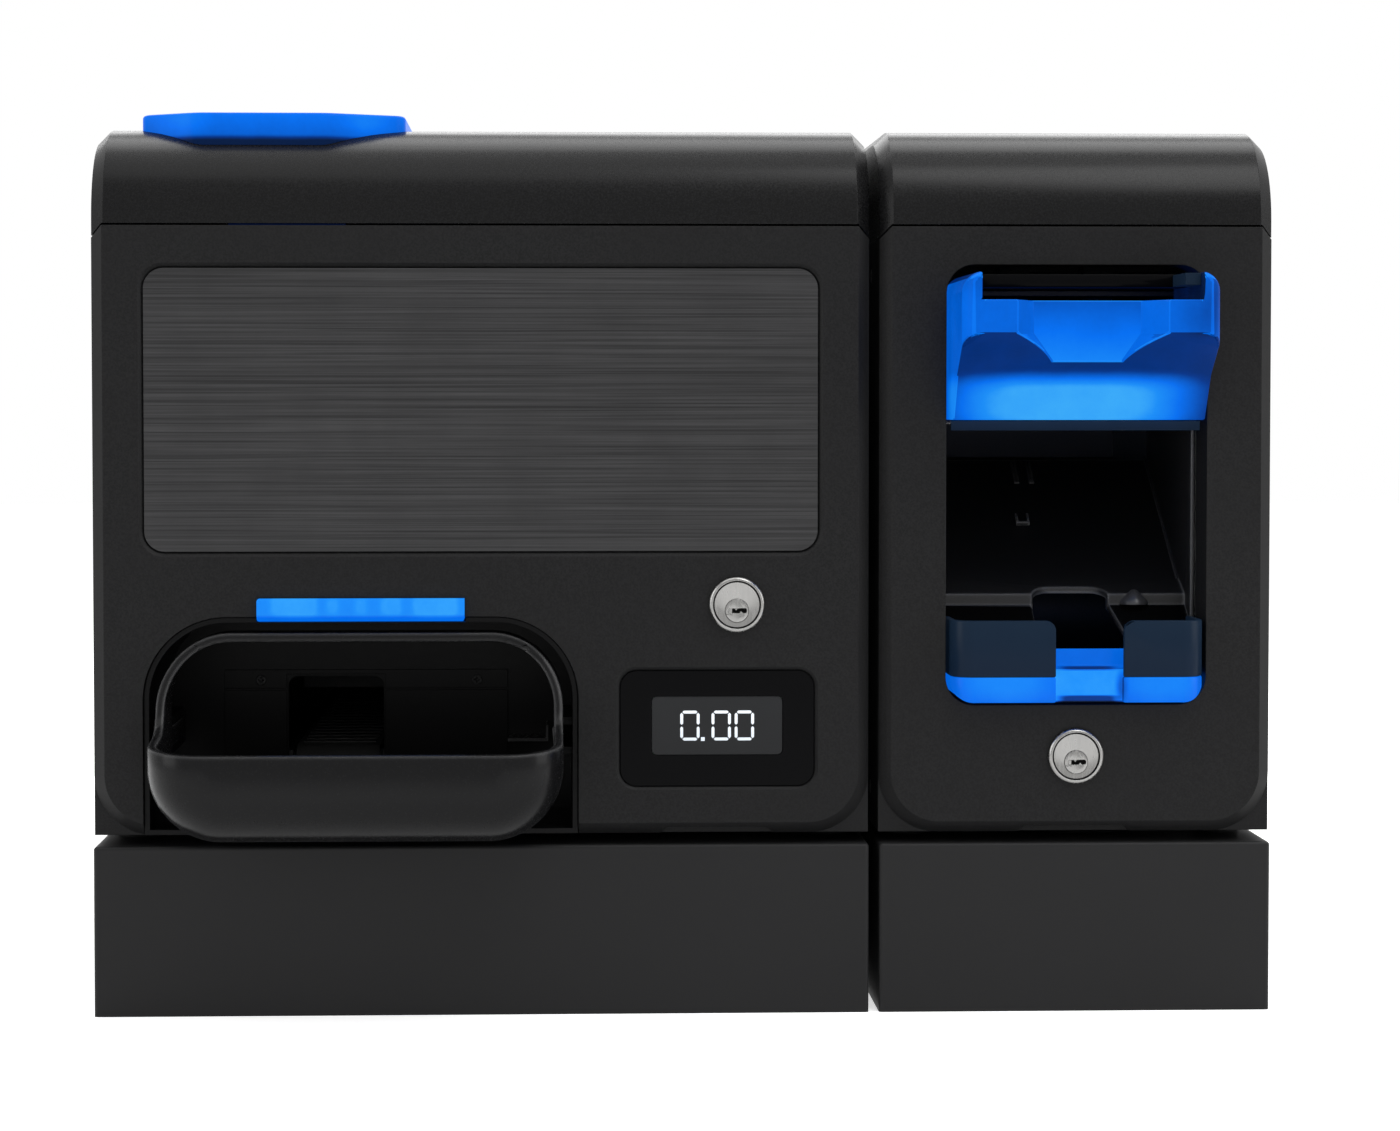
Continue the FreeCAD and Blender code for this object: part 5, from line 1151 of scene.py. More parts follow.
@dataclass
class Fronts:
    """Front mouldings, lids, the inlay and the light bar.

    Below the height `lit_above` the funnel takes the painted shade `unlit`.
    """

    cabinet: Cabinet
    lit_above: float = 336.0
    unlit: float = -0.3
    bar_round: float = 0.7
    funnel_round: float = 1.2

    def build(self) -> None:
        """Dresses the fronts."""
        self.cabinet.paint(Finish.SHELL, "coin_fascia", "note_fascia")
        self.cabinet.paint(Finish.LID, "coin_lid", "note_lid")
        self.cabinet.paint(Finish.INLAY, "inlay_panel")
        self.cabinet.paint(Finish.BOARD, "front_boards")
        self.cabinet.soften("light_bar", "frame", "blue_glow", Finish.BAR, self.bar_round)
        self.cabinet.soften("coin_funnel", "coin_lid", "blue_glow", Finish.FUNNEL,
                            self.funnel_round, zones=self.funnel_light)

    def funnel_light(self, _normal: Vector, _middle: Vector, corner: Vector) -> float:
        """Painted shade: the funnel is lit above the lid only."""
        return self.unlit if corner.z < self.lit_above else 0.0


@dataclass
class Display:
    """The till display: a bezel, a window and plain digits.

    Lengths are in millimetres. `point_room` and `point_place` are shares of the pitch: what the
    point adds to it, and how far behind the first digit the point stands.
    """

    cabinet: Cabinet
    height: float = 10.5
    width: float = 6.4
    stroke: float = 1.15
    gap: float = 0.28
    pitch: float = 9.0
    face: float = -228.50
    thick: float = 0.06
    point_width: float = 1.5
    point_room: float = 0.35
    point_place: float = 0.2

    def bar(self, start: Pair, end: Pair) -> list[Pair]:
        """The outline of one segment with pointed ends.

        Args:
            start: Middle of one end.
            end: Middle of the other.

        Returns:
            Six corners in order.
        """
        (x0, z0), (x1, z1) = start, end
        half = self.stroke / 2
        length = math.hypot(x1 - x0, z1 - z0)
        ux, uz = (x1 - x0) / length, (z1 - z0) / length
        x0, z0 = x0 + ux * self.gap, z0 + uz * self.gap
        x1, z1 = x1 - ux * self.gap, z1 - uz * self.gap
        nx, nz = -uz * half, ux * half
        dx, dz = ux * half, uz * half
        return [(x0, z0), (x0 + dx + nx, z0 + dz + nz), (x1 - dx + nx, z1 - dz + nz),
                (x1, z1), (x1 - dx - nx, z1 - dz - nz), (x0 + dx - nx, z0 + dz - nz)]

    def strokes(self, x: float, z: float) -> list[tuple[Pair, Pair]]:
        """Where each stroke of a nought starts and ends; its lower left corner is at x and z.

        Args:
            x: Left side, in millimetres.
            z: Foot.

        Returns:
            Six strokes.
        """
        top, middle, right = z + self.height, z + self.height / 2, x + self.width
        return [((x, top), (right, top)), ((right, middle), (right, top)),
                ((right, z), (right, middle)), ((x, z), (right, z)),
                ((x, z), (x, middle)), ((x, middle), (x, top))]

    def build(self) -> None:
        """Dresses the display and draws the digits 0.00."""
        self.cabinet.paint(Finish.GLOSS, "display_bezel")
        self.cabinet.paint(Finish.WINDOW, "display_window")
        low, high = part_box("display_window")
        middle_x, middle_z = (low.x + high.x) / 2 / MM, (low.z + high.z) / 2 / MM
        second = self.pitch * (1.0 + self.point_room)
        x = middle_x - (second + self.pitch + self.width) / 2
        z = middle_z - self.height / 2
        back, front = self.face + self.thick, self.face - self.thick
        work = bmesh.new()
        for shift in (0.0, second, second + self.pitch):
            for start, end in self.strokes(x + shift, z):
                prism(work, self.bar(start, end), front, back)
        point, half = x + self.width + self.pitch * self.point_place, self.point_width / 2
        prism(work, rectangle(point - half, point + half, z - half, z + half), front, back)
        digits = add_piece("display_digits", to_mesh("display_digits", work), Finish.DIGITS)
        self.cabinet.settle(digits, "frame", "display_glass")


@dataclass
class Payout:
    """The coin cup and its niche.

    `panel` is the cover plate's left side, foot, right side and top, and `chute` the left side,
    right side and top of the opening in it. `head` is a screw head's radius, thickness and recess,
    and `lip` the thickness and height of the ledge's end.
    """

    cabinet: Cabinet
    wall_y: float = -159.65
    panel: FourLengths = (-184.5, 80.0, -69.5, 128.8)
    chute: ThreeLengths = (-159.2, -119.3, 126.9)
    seam: float = 120.8
    seam_gap: float = 0.35
    plate_thick: float = 0.9
    plate_round: float = 0.25
    screws: tuple[Pair, ...] = ((-169.6, 124.6), (-82.0, 124.6))
    head: ThreeLengths = (2.1, 0.9, 1.3)
    sink: float = 0.05
    ledge_right: float = -54.0
    ledge_top: float = 102.4
    ledge_thick: float = 1.2
    ledge_depth: float = 20.0
    lip: Pair = (0.9, 5.2)
    ledge_round: float = 0.3
    cup_round: float = 1.1
    cup_angle: float = 50.0

    def build(self) -> None:
        """Dresses the cup and the niche."""
        self.cabinet.soften("coin_cup", "coin_cup", "cup_plastic", Finish.CUP, self.cup_round,
                            self.cup_angle)
        self.cabinet.paint(Finish.NICHE, "cup_niche")
        self.put_panel()
        self.put_pocket()

    def put_panel(self) -> None:
        """The chute's cover plate on the niche's back wall, with two screws."""
        x0, z0, x1, z1 = self.panel
        left, right, top = self.chute
        low, high = self.seam - self.seam_gap, self.seam + self.seam_gap
        face = self.wall_y - self.plate_thick
        work = bmesh.new()
        for outline in ([(x0, z0), (left, z0), (left, low), (x0, low)],
                        [(right, z0), (x1, z0), (x1, low), (right, low)],
                        [(x0, high), (left, high), (left, top), (right, top), (right, high),
                         (x1, high), (x1, z1), (x0, z1)]):
            prism(work, outline, face, self.wall_y + self.sink)
        soften_edges(work, self.plate_round, TRIM_ANGLE)
        plate = add_piece("chute_plate", to_mesh("chute_plate", work), Finish.NICHE)
        self.cabinet.settle(plate, "frame", "cup_plastic")
        places = [(x, face + self.sink, height) for x, height in self.screws]
        heads = Repeat("chute_screws").make(screw_head(*self.head), Finish.SHEET, places, TO_FRONT)
        self.cabinet.settle(heads, "frame", "black_sheet")

    def put_pocket(self) -> None:
        """A small ledge in the pocket to the right of the plate."""
        work = bmesh.new()
        x0, x1, z = self.panel[2] + 0.2, self.ledge_right, self.ledge_top
        outer, low, high = x1 + self.lip[0], z - self.ledge_thick, z + self.lip[1]
        prism(work, [(x0, low), (outer, low), (outer, high), (x1, high), (x1, z), (x0, z)],
              self.wall_y - self.ledge_depth, self.wall_y + self.sink)
        soften_edges(work, self.ledge_round, TRIM_ANGLE)
        ledge = add_piece("pocket_ledge", to_mesh("pocket_ledge", work), Finish.CUP)
        self.cabinet.settle(ledge, "frame", "cup_plastic")


@dataclass(frozen=True)
class HoodLight:
    """How much painted light each part of the banknote hood takes over its dark, tipped-back face;
    the right end takes painted shade.

    Places are in millimetres. A slant is the share of a face's normal that lies along one axis.
    """

    nose: float = -269.65
    band_depth: float = 1.5
    brow_depth: float = 7.0
    brow_foot: float = 262.0
    brow_middle: float = 150.0
    ends: Pair = (112.0, 190.0)
    flank: float = 105.0
    scoop: Pair = (122.0, 182.0)
    scoop_foot: float = 252.0
    scoop_front: float = -252.0
    scoop_top: float = 276.0
    scoop_rise: float = 24.0
    end_slant: float = 0.6
    lip_slant: float = 0.4
    front_slant: float = -0.9
    under_slant: float = -0.5
    brow_slants: Pair = (0.15, -0.3)
    scoop_slants: Pair = (0.3, -0.7)
    # Painted light added to the hood's glow at each part; negative values paint shade.
    light_right_end: float = -0.16
    light_left_end: float = 0.10
    light_lip: float = 0.62
    light_band: Pair = (0.33, 0.46)
    light_brow: Pair = (0.38, 0.24)
    light_flank: float = 0.30
    light_cheeks: Pair = (0.30, 0.36)
    light_scoop: float = 0.24
    scoop_gain: float = 0.36

    def at(self, normal: Vector, middle: Vector, corner: Vector) -> float:
        """The painted light at one corner of a face; a negative value paints shade.

        Args:
            normal: The face's normal.
            middle: Its middle, in millimetres.
            corner: The corner, in millimetres.

        Returns:
            The painted light added to the hood's own glow.
        """
        if normal.x < -self.end_slant and middle.x > self.ends[1]:
            return self.light_right_end
        if normal.x > self.end_slant and middle.x < self.ends[0]:
            return self.light_left_end
        if normal.z > self.lip_slant and normal.y < -self.lip_slant:
            return self.light_lip
        if middle.y < self.nose + self.band_depth and normal.z > self.under_slant:
            return self.light_band[0] if normal.y < self.front_slant else self.light_band[1]
        on_brow = middle.y < self.nose + self.brow_depth and middle.z > self.brow_foot
        if on_brow and abs(normal.x) > self.brow_slants[0] and normal.z > self.brow_slants[1]:
            return self.light_brow[0] if middle.x < self.brow_middle else self.light_brow[1]
        if normal.x < -self.lip_slant and middle.x < self.flank:
            return self.light_flank
        in_scoop = middle.z > self.scoop_foot and middle.y < self.scoop_front
        if in_scoop and self.scoop[0] < middle.x < self.scoop[1]:
            if abs(normal.x) > self.scoop_slants[0]:
                return self.light_cheeks[0] if normal.x > 0.0 else self.light_cheeks[1]
            if normal.z > self.scoop_slants[1]:
                depth = (self.scoop_top - corner.z) / self.scoop_rise
                return self.light_scoop + self.scoop_gain * depth
        return 0.0


@dataclass
class Banknotes:
    """The banknote inlet, outlet and tray.

    `mouth` is the opening's left and right side, `strip` a foot, a top and a face, and `guide` a
    left side, a right side, a foot and a top. `ramp_foot` and `ramp_head` are y and z. Small blocks
    are given by width, depth, height and round, and their places by x and the share of the way up
    the ramp. `insert_x` and `insert_y` enclose the front of the tray's insert, which takes painted
    light. Slants are shares of a face's normal.
    """

    cabinet: Cabinet
    hood_light: HoodLight = HoodLight()
    hood_round: float = 0.7
    bezel_round: float = 0.5
    outlet_round: float = 0.5
    tray_round: float = 0.7
    light_round: float = 0.6
    mouth: Pair = (103.4, 200.6)
    strip: ThreeLengths = (226.5, 230.15, -226.3)
    strip_thick: float = 1.1
    strip_round: float = 0.3
    guide: FourLengths = (188.0, 193.8, 281.9, 286.4)
    guide_depth: Pair = (-262.0, -235.7)
    guide_round: float = 0.5
    ramp_foot: Pair = (-181.65, 166.7)
    ramp_head: Pair = (-107.65, 213.05)
    ramp_sink: float = 0.1
    rib: FourLengths = (2.4, 17.0, 0.9, 0.4)
    rib_places: tuple[Pair, ...] = ((143.4, 0.88), (149.6, 0.88))
    catch_leg: FourLengths = (1.2, 6.0, 1.9, 0.3)
    leg_places: tuple[Pair, ...] = ((140.0, 0.47), (144.6, 0.47))
    catch_bar: FourLengths = (5.8, 1.6, 1.9, 0.4)
    bar_place: Pair = (142.3, 0.437)
    # The ramp strip is a painted highlight along the ramp's edge at the right wall.
    highlight_strip: FourLengths = (0.9, 90.0, 0.9, 0.3)
    highlight_place: Pair = (200.0, 0.5)
    cone: Point = (180.5, -195.4, 156.9)
    cone_profile: tuple[Pair, ...] = ((0.0, 0.0), (5.8, 0.0), (5.5, 1.4), (1.2, 5.6), (0.0, 6.0))
    cone_steps: int = 32
    cone_angle: float = 50.0
    floor_slants: Pair = (-0.7, -0.45)
    floor_rise: float = 0.7
    floor_back: float = -198.0
    insert_x: Pair = (141.0, 171.5)
    insert_y: Pair = (-236.5, -233.0)
    insert_top: float = 134.2
    insert_light: float = 0.34
    front_slant: float = -0.8

    def build(self) -> None:
        """Dresses the banknote front."""
        soften = self.cabinet.soften
        soften("note_hood", "frame", "blue_glow", Finish.HOOD, self.hood_round,
               zones=self.hood_light.at)
        soften("note_slot_bezel", "frame", "gloss_black", Finish.GLOSS, self.bezel_round)
        soften("note_outlet", "frame", "cup_plastic", Finish.OUTLET, self.outlet_round,
               zones=self.outlet_shade)
        soften("note_tray", "frame", "blue_tint", Finish.TINT, self.tray_round)
        soften("note_tray_light", "frame", "blue_glow", Finish.TRAY_LIGHT, self.light_round,
               zones=self.tray_light)
        self.put_strips()
        self.put_ramp_details()
        self.put_cone()

    def outlet_shade(self, normal: Vector, middle: Vector, _corner: Vector) -> float:
        """How deep in the tray's shade a face of the outlet lies: its sloping floor does.

        Args:
            normal: The face's normal.
            middle: Its middle, in millimetres.
            _corner: Not needed; the face is evenly dark.

        Returns:
            1 on the floor and 0 elsewhere.
        """
        low, high = self.floor_slants
        slopes = normal.z > self.floor_rise and low < normal.y < high
        return 1.0 if slopes and middle.y < self.floor_back else 0.0

    def tray_light(self, normal: Vector, middle: Vector, _corner: Vector) -> float:
        """The painted light on a face of the tray's base: the insert's front is drawn brighter than
        the strips.

        Args:
            normal: The face's normal.
            middle: Its middle, in millimetres.
            _corner: Not needed; the face is evenly lit.

        Returns:
            The painted light added to the glow of the base.
        """
        (x0, x1), (y0, y1) = self.insert_x, self.insert_y
        inside = x0 < middle.x < x1 and y0 < middle.y < y1 and middle.z < self.insert_top
        return self.insert_light if inside and normal.y < self.front_slant else 0.0

    def put_strips(self) -> None:
        """The tinted strip under the hood and the tinted guide at the right end of the slot."""
        low, high, face = self.strip
        for name, outline, depth, width, finish in (
                ("hood_base_strip", rectangle(*self.mouth, low, high),
                 (face, face + self.strip_thick), self.strip_round, Finish.STRIP),
                ("slot_guide", rectangle(*self.guide), self.guide_depth, self.guide_round,
                 Finish.TINT)):
            work = bmesh.new()
            prism(work, outline, *depth)
            soften_edges(work, width, TRIM_ANGLE)
            self.cabinet.settle(add_piece(name, to_mesh(name, work), finish), "frame", "blue_tint")

    def on_ramp(self, x: float, share: float) -> Point:
        """A place on the ramp, at a share of the way from its foot to its head."""
        (y0, z0), (y1, z1) = self.ramp_foot, self.ramp_head
        return (x, y0 + (y1 - y0) * share, z0 + (z1 - z0) * share - self.ramp_sink)

    def put_ramp_details(self) -> None:
        """Two ribs and a catch on the ramp, and a light strip that paints the highlight along its
        edge.
        """
        (y0, z0), (y1, z1) = self.ramp_foot, self.ramp_head
        turn = (math.degrees(math.atan2(z1 - z0, y1 - y0)), 0.0, 0.0)
        for name, size, finish, places in (
                ("ramp_ribs", self.rib, Finish.CUP, self.rib_places),
                ("catch_legs", self.catch_leg, Finish.OUTLET, self.leg_places),
                ("catch_bar", self.catch_bar, Finish.OUTLET, (self.bar_place,)),
                ("ramp_bead", self.highlight_strip, Finish.BEAD, (self.highlight_place,))):
            spots = [self.on_ramp(*place) for place in places]
            piece = Repeat(name).make(block(*size), finish, spots, turn)
            self.cabinet.settle(piece, "frame", "cup_plastic")

    def put_cone(self) -> None:
        """A cone on the riser, which keeps banknotes off it."""
        work = bmesh.new()
        lathe(work, self.cone_profile, (0.0, 0.0, 0.0), self.cone_steps)
        upright = Matrix.Rotation(math.radians(90.0), 4, "X")
        work.transform(Matrix.Translation(mm(*self.cone)) @ upright)
        cone = add_piece("riser_cone", to_mesh("riser_cone", work, self.cone_angle), Finish.BEAD)
        self.cabinet.settle(cone, "frame", "cup_plastic")


@dataclass
class Locks:
    """The two key locks with their cams and lever.

    `heads` are the x and z of the lock heads, and the plugs' profiles lie `plug_drop` below them.
    `groove` is an inner radius, an outer radius and a depth behind the heads' `face`. `keyway`,
    `wards` and `split` are drawn about that lower point.
    """

    cabinet: Cabinet
    heads: tuple[Pair, ...] = ((19.9, 159.2), (152.0, 99.9))
    plug_drop: float = 2.3
    face: float = -232.1
    groove: ThreeLengths = (8.75, 9.3, 1.1)
    groove_steps: int = 64
    shade_depth: float = 0.3
    barrel_round: float = 0.25
    plug_round: float = 0.2
    keyway: tuple[Pair, ...] = (
        (-1.85, 0.75), (-1.1, 0.9), (-0.5, 0.42), (0.0, 0.4), (0.5, 0.85), (1.2, 0.95), (2.4, 1.0),
        (3.5, 0.95), (3.9, 0.2), (3.7, -0.85), (2.2, -0.95), (1.5, -0.6), (0.9, -0.95),
        (-1.0, -1.0), (-1.85, -0.9))
    keyway_depth: float = 6.0
    keyway_dark: float = 0.9
    ward_depth: Pair = (0.15, 0.95)
    wards: tuple[tuple[Pair, ...], ...] = (
        ((-0.9, 0.8), (-0.35, 0.05), (0.25, 0.8)), ((1.0, -0.8), (1.6, -0.2), (2.2, -0.8)),
        ((-3.1, 0.8), (-3.1, -0.8), (-1.9, -0.8), (-1.9, 0.8)))
    split: FourLengths = (-4.7, -1.7, -1.5, -1.3)
    split_depth: float = 0.35

    def build(self) -> None:
        """Dresses the locks."""
        barrels = self.cabinet.soften("lock_barrels", "frame", "lock_chrome", Finish.NICKEL,
                                      self.barrel_round)
        carve(barrels, self.rings(-OVERCUT))
        # Dark rings filling the grooves are painted shade.
        filled = add_piece("lock_grooves", to_mesh("lock_grooves", self.rings(self.shade_depth)),
                           Finish.KEYWAY)
        self.cabinet.settle(filled, "frame", "gloss_black")
        for (x, z), module in zip(self.heads, ("coin", "note")):
            self.cut_keyway(f"{module}_lock_plug", f"{module}_key", x, z - self.plug_drop)
        self.cabinet.paint(Finish.ZINC, "lock_nuts", "coin_lock_cam", "note_lock_cam",
                           "coin_latch_lever")

    def rings(self, start: float) -> bmesh.types.BMesh:
        """The grooves round both lock heads as solid rings.

        Args:
            start: How far behind the heads' face the rings start, in millimetres.

        Returns:
            Mesh work with both rings.
        """
        work = bmesh.new()
        inner, outer, depth = self.groove
        section = [(inner, start), (outer, start), (outer, depth), (inner, depth)]
        for x, z in self.heads:
            lathe(work, section, (x, self.face, z), self.groove_steps, closed=True)
        return work

    def cut_keyway(self, node: str, body: str, x: float, z: float) -> None:
        """A keyway with the shape of a key's profile, and the line where the plug is split.

        Args:
            node: The plug.
            body: The body it rides on.
            x: Of the plug's axis, in millimetres.
            z: Of the plug's axis.
        """
        low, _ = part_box(node)
        front = low.y / MM
        plug = self.cabinet.soften(node, body, "lock_chrome", Finish.NICKEL, self.plug_round)
        profile = [(x + dx, z + dz) for dx, dz in self.keyway]
        hole, inside, wards, line = (bmesh.new() for _ in range(4))
        prism(hole, profile, front - OVERCUT, front + self.keyway_depth)
        carve(plug, hole)
        # A dark fill deep in the keyway is painted shade.
        prism(inside, profile, front + self.keyway_dark, front + self.keyway_depth)
        dark = add_piece(f"{body}_keyway", to_mesh("keyway", inside), Finish.KEYWAY)
        self.cabinet.settle(dark, body, "gloss_black")
        near, far = self.ward_depth
        for ward in self.wards:
            prism(wards, [(x + dx, z + dz) for dx, dz in ward], front + near, front + far)
        piece = add_piece(f"{body}_wards", to_mesh("wards", wards), Finish.NICKEL)
        self.cabinet.settle(piece, body, "lock_chrome")
        x0, x1, z0, z1 = self.split
        outline = rectangle(x + x0, x + x1, z + z0, z + z1)
        prism(line, outline, front - OVERCUT, front + self.split_depth)
        carve(plug, line)


@dataclass
class Works:
    """Everything inside the cases and on the back.

    `belt` is the belt's middle, its front and back end, and the top of its upper run. `boards` are
    the x of each board's face and the way it faces. Blocks are width, depth, height and round.
    """

    cabinet: Cabinet
    belt: FourLengths = (-139.2, -136.0, 186.0, 96.5)
    rib: FourLengths = (30.0, 2.2, 0.9, 0.3)
    rib_pitch: float = 13.0
    boards: tuple[tuple[float, int], ...] = ((59.5, -1), (85.1, 1))
    sink: float = 0.05
    part: FourLengths = (1.8, 3.6, 1.3, 0.2)
    part_rows: tuple[float, ...] = (138.0, 144.5, 182.0, 189.0, 196.0)
    part_places: range = range(14, 150, 9)
    plug: FourLengths = (5.0, 12.0, 3.6, 0.4)
    plug_row: float = 210.0
    plug_places: range = range(20, 150, 24)

    def build(self) -> None:
        """Dresses the works."""
        paint = self.cabinet.paint
        paint(Finish.SHEET, "belt_cheeks")
        paint(Finish.ZINC, "coin_frame", "belt_drive_roller", "belt_idler_roller",
              "power_supply", "note_frame")
        paint(Finish.RAIL, "coin_sorter_rail", "stacker_plate")
        paint(Finish.INNER, "feed_bowl", "coin_bins", "note_guides", "note_cassette",
              "note_validator", "recycler_drum")
        paint(Finish.WHITE, "feed_disc")
        paint(Finish.TYRE, "feed_drive_roller", "feed_idler_roller", "payout_belt")
        paint(Finish.MOTOR, "feed_motor", "note_motor")
        paint(Finish.BOARD, "coin_board", "note_board")
        paint(Finish.GLOSS, "connector_plate", "mains_inlet", "power_rocker")
        self.put_belt_ribs()
        self.fill_boards()

    def put_belt_ribs(self) -> None:
        """Ribs across the upper run of the payout belt, which push the coins."""
        middle, first, last, high = self.belt
        count = round((last - first) / self.rib_pitch)
        places = [(middle, first + self.rib_pitch * i, high) for i in range(count)]
        ribs = Repeat("belt_ribs").make(block(*self.rib), Finish.TYRE, places)
        self.cabinet.settle(ribs, "frame", "roller_rubber")

    def fill_boards(self) -> None:
        """Small parts and plugs on the two circuit boards."""
        parts, plugs, part_turns, plug_turns = [], [], [], []
        for x, side in self.boards:
            turn = (0.0, 90.0 * side, 0.0)
            face = x - self.sink * side
            rows = [(face, y, z) for z in self.part_rows for y in self.part_places]
            parts += rows
            part_turns += [turn] * len(rows)
            row = [(face, y, self.plug_row) for y in self.plug_places]
            plugs += row
            plug_turns += [turn] * len(row)
        small = Repeat("board_parts").make(block(*self.part), Finish.INNER, parts, turns=part_turns)
        self.cabinet.settle(small, "frame", "gloss_black")
        white = Repeat("board_plugs").make(block(*self.plug), Finish.WHITE, plugs, turns=plug_turns)
        self.cabinet.settle(white, "frame", "white_plastic")


@dataclass
class Rear:
    """Fastenings and contacts on the back.

    `sheet` and `tie_face` are the y of the faces that screws sit on, heads are radius, thickness
    and recess, and screws are x and z. `sockets` are the left sides of the data sockets.
    """

    cabinet: Cabinet
    sheet: float = 280.35
    tie_face: float = 282.35
    sink: float = 0.05
    tie_head: ThreeLengths = (3.2, 1.2, 1.9)
    tie_screws: tuple[Pair, ...] = ((56.5, 161.0), (90.5, 161.0), (56.5, 187.0), (90.5, 187.0))
    plate_head: ThreeLengths = (2.6, 1.0, 1.5)
    plate_screws: tuple[Pair, ...] = ((-46.3, 88.0), (63.3, 88.0), (-46.3, 138.0), (63.3, 138.0))
    sockets: tuple[float, ...] = (21.5, 39.5)
    ceiling: float = 118.3
    contact: FourLengths = (0.6, 9.0, 0.5, 0.1)
    contact_depth: float = 8.4
    contact_drop: float = 0.45
    contacts: int = 8
    contact_pitch: float = 1.2
    first_contact: float = 3.8

    def build(self) -> None:
        """Dresses the back."""
        for name, size, face, spots in (
                ("tie_screws", self.tie_head, self.tie_face, self.tie_screws),
                ("plate_screws", self.plate_head, self.sheet, self.plate_screws)):
            places = [(x, face - self.sink, z) for x, z in spots]
            heads = Repeat(name).make(screw_head(*size), Finish.ZINC, places, TO_BACK)
            self.cabinet.settle(heads, "frame", "zinc_steel")
        y, z = self.sheet - self.contact_depth, self.ceiling - self.contact_drop
        places = [(x + self.first_contact + self.contact_pitch * i, y, z)
                  for x in self.sockets for i in range(self.contacts)]
        contacts = Repeat("socket_contacts").make(block(*self.contact), Finish.GOLD, places)
        self.cabinet.settle(contacts, "frame", "zinc_steel")


# ---------------------------------------------------------------- studio


def seen_directly(tree: bpy.types.NodeTree) -> Socket:
    """1 for rays from the camera, a mirror or a glass, 0 for the rays that carry light.

    Args:
        tree: The node tree.

    Returns:
        The value.
    """
    path = tree.nodes.new("ShaderNodeLightPath")
    total = path.outputs["Is Camera Ray"]
    for name in ("Is Glossy Ray", "Is Transmission Ray"):
        both = tree.nodes.new("ShaderNodeMath")
        both.operation = "MAXIMUM"
        tree.links.new(total, both.inputs[0])
        tree.links.new(path.outputs[name], both.inputs[1])
        total = both.outputs[0]
    return total


@dataclass(frozen=True)
class SoftBox:
    """A rectangular lamp; its place and aim in millimetres, size in metres and power in watts."""

    name: str
    place: Point
    aim: Point
    size: Pair
    power: float

    def hang(self) -> None:
        """Puts the lamp in the scene."""
        data = bpy.data.lights.new(self.name, "AREA")
        data.shape = "RECTANGLE"
        data.size, data.size_y = self.size
        data.energy = self.power
        lamp = bpy.data.objects.new(self.name, data)
        bpy.context.scene.collection.objects.link(lamp)
        lamp.location = mm(*self.place)
        lamp.rotation_euler = (mm(*self.aim) - mm(*self.place)).to_track_quat("-Z", "Y").to_euler()


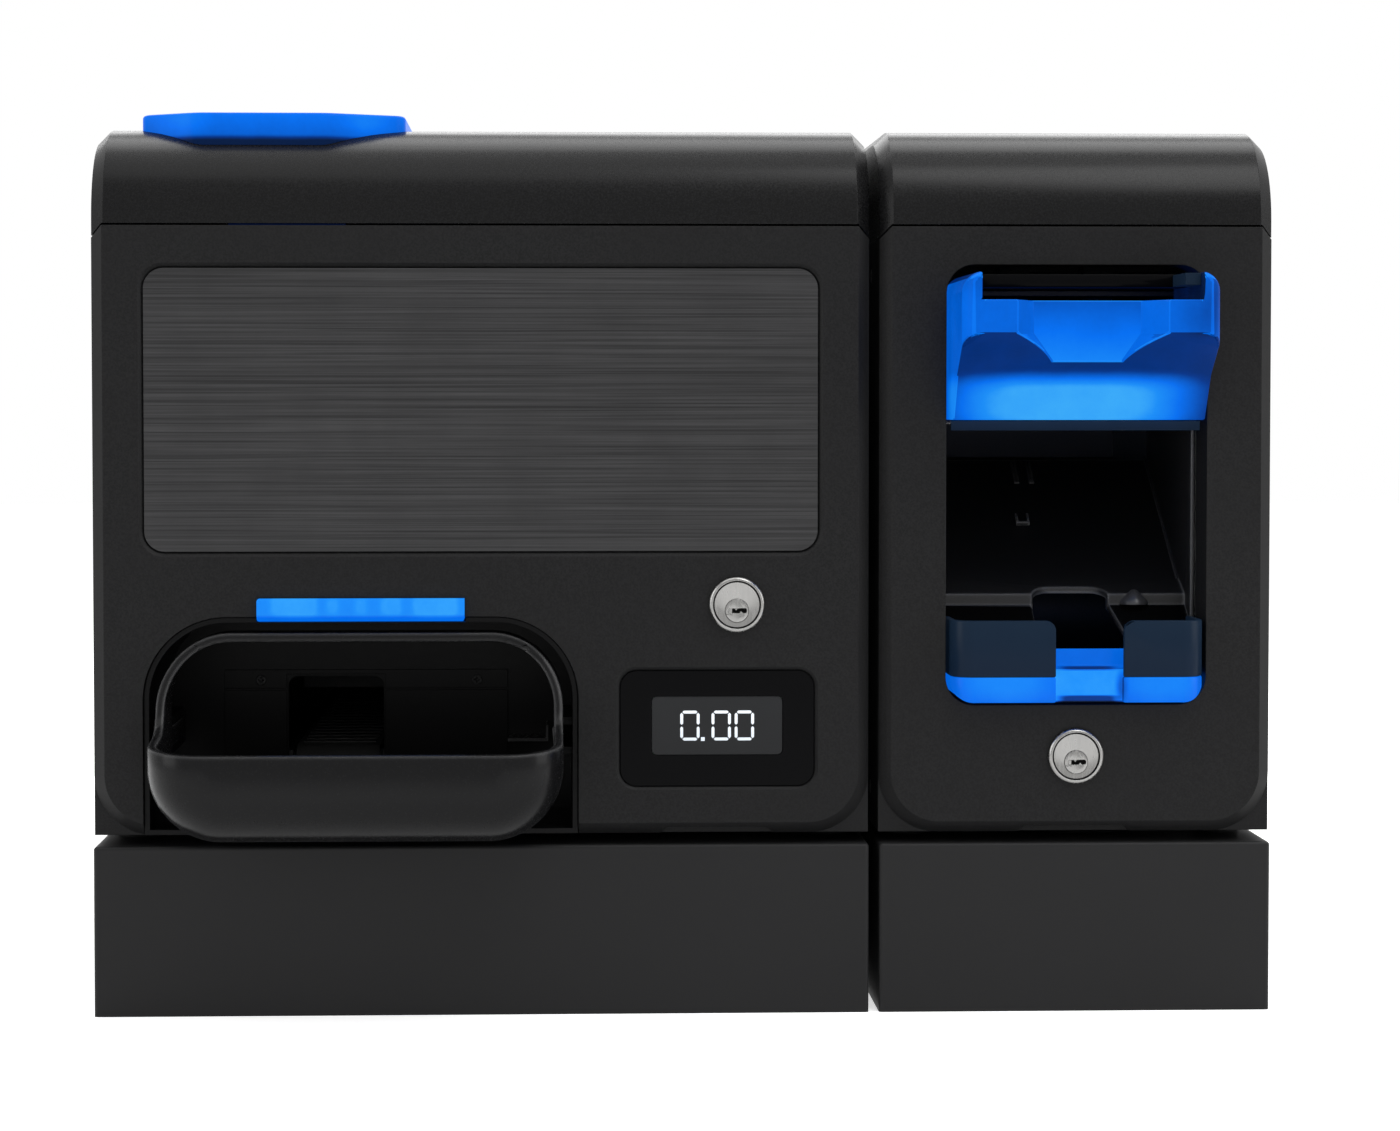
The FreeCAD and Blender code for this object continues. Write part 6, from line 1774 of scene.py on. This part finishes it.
@dataclass
class Studio:
    """Floor, lamps, background and camera."""

    eye: Point = (-52.3, -1529.65, 239.7)
    yaw: float = 2.076
    pitch: float = 2.161
    sensor: float = 36.0
    lens: float = 86.58
    shift: Pair = (0.02, -0.03)
    reach: Pair = (0.05, 50.0)
    floor_size: float = 12.0
    floor_tone: Colour = (0.8, 0.8, 0.8)
    floor_glow: float = 0.62
    ambient: float = 0.5
    white: Colour = (1.0, 1.0, 1.0)

    LAMPS = (
        SoftBox("top_box", (-100.0, -500.0, 1500.0), (0.0, 0.0, 250.0), (1.4, 1.0), 5.5),
        SoftBox("note_box", (560.0, -880.0, 1450.0), (150.0, -200.0, 300.0), (0.7, 0.8), 8.5),
        SoftBox("crest_box", (0.0, 330.0, 1500.0), (0.0, -215.0, 337.0), (2.0, 0.62), 16.0),
        SoftBox("rim_box", (-50.0, 1500.0, 1250.0), (0.0, 150.0, 200.0), (2.2, 0.7), 12.0),
        SoftBox("left_box", (-1500.0, -700.0, 700.0), (-100.0, -100.0, 200.0), (0.8, 1.2), 7.0),
        SoftBox("right_box", (1500.0, -600.0, 700.0), (100.0, -100.0, 200.0), (0.8, 1.2), 7.0))

    def build(self) -> None:
        """Sets up the studio."""
        self.place_camera()
        self.lay_floor()
        for lamp in self.LAMPS:
            lamp.hang()
        self.light_background()

    def place_camera(self) -> None:
        """A level camera in front, turned a little to the right and down."""
        data = bpy.data.cameras.new("front_camera")
        data.sensor_width = self.sensor
        data.lens = self.lens
        data.shift_x, data.shift_y = self.shift
        data.clip_start, data.clip_end = self.reach
        camera = bpy.data.objects.new("front_camera", data)
        bpy.context.scene.collection.objects.link(camera)
        camera.location = mm(*self.eye)
        camera.rotation_euler = (math.radians(90.0 - self.pitch), 0.0, -math.radians(self.yaw))
        bpy.context.scene.camera = camera

    def lay_floor(self) -> None:
        """A plain pale floor that keeps the object's shadow."""
        shader = Shader("pale_floor")
        glow = shader.math("MULTIPLY", seen_directly(shader.tree), self.floor_glow)
        shader.set(Base_Color=self.floor_tone, Roughness=0.9, Specular_IOR_Level=0.1,
                   Emission_Color=self.white, Emission_Strength=glow)
        work = bmesh.new()
        half = self.floor_size / 2
        outline = rectangle(-half, half, -half, half)
        work.faces.new([work.verts.new((x, y, 0.0)) for x, y in outline])
        mesh = bpy.data.meshes.new("floor")
        work.to_mesh(mesh)
        work.free()
        mesh.materials.append(shader.material)
        add_piece("floor", mesh)

    def light_background(self) -> None:
        """A background that is white to the eye and softer as a light."""
        world = bpy.data.worlds.new("studio")
        bpy.context.scene.world = world
        world.use_nodes = True
        tree = world.node_tree
        tree.nodes.clear()
        back = tree.nodes.new("ShaderNodeBackground")
        power = tree.nodes.new("ShaderNodeMapRange")
        output = tree.nodes.new("ShaderNodeOutputWorld")
        power.inputs["To Min"].default_value = self.ambient
        power.inputs["To Max"].default_value = 1.0
        tree.links.new(seen_directly(tree), power.inputs["Value"])
        tree.links.new(power.outputs[0], back.inputs["Strength"])
        tree.links.new(back.outputs[0], output.inputs["Surface"])
        back.inputs["Color"].default_value = (*self.white, 1.0)


def main() -> None:
    """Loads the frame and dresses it."""
    logging.basicConfig(level=logging.INFO, format="%(message)s")
    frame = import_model()
    cabinet = Cabinet(frame["nodes"])
    for part in (Casings, Fronts, Display, Payout, Banknotes, Locks, Works, Rear):
        part(cabinet).build()
    Studio().build()
    bpy.context.scene.view_settings.view_transform = "Standard"


if __name__ == "__main__":
    main()
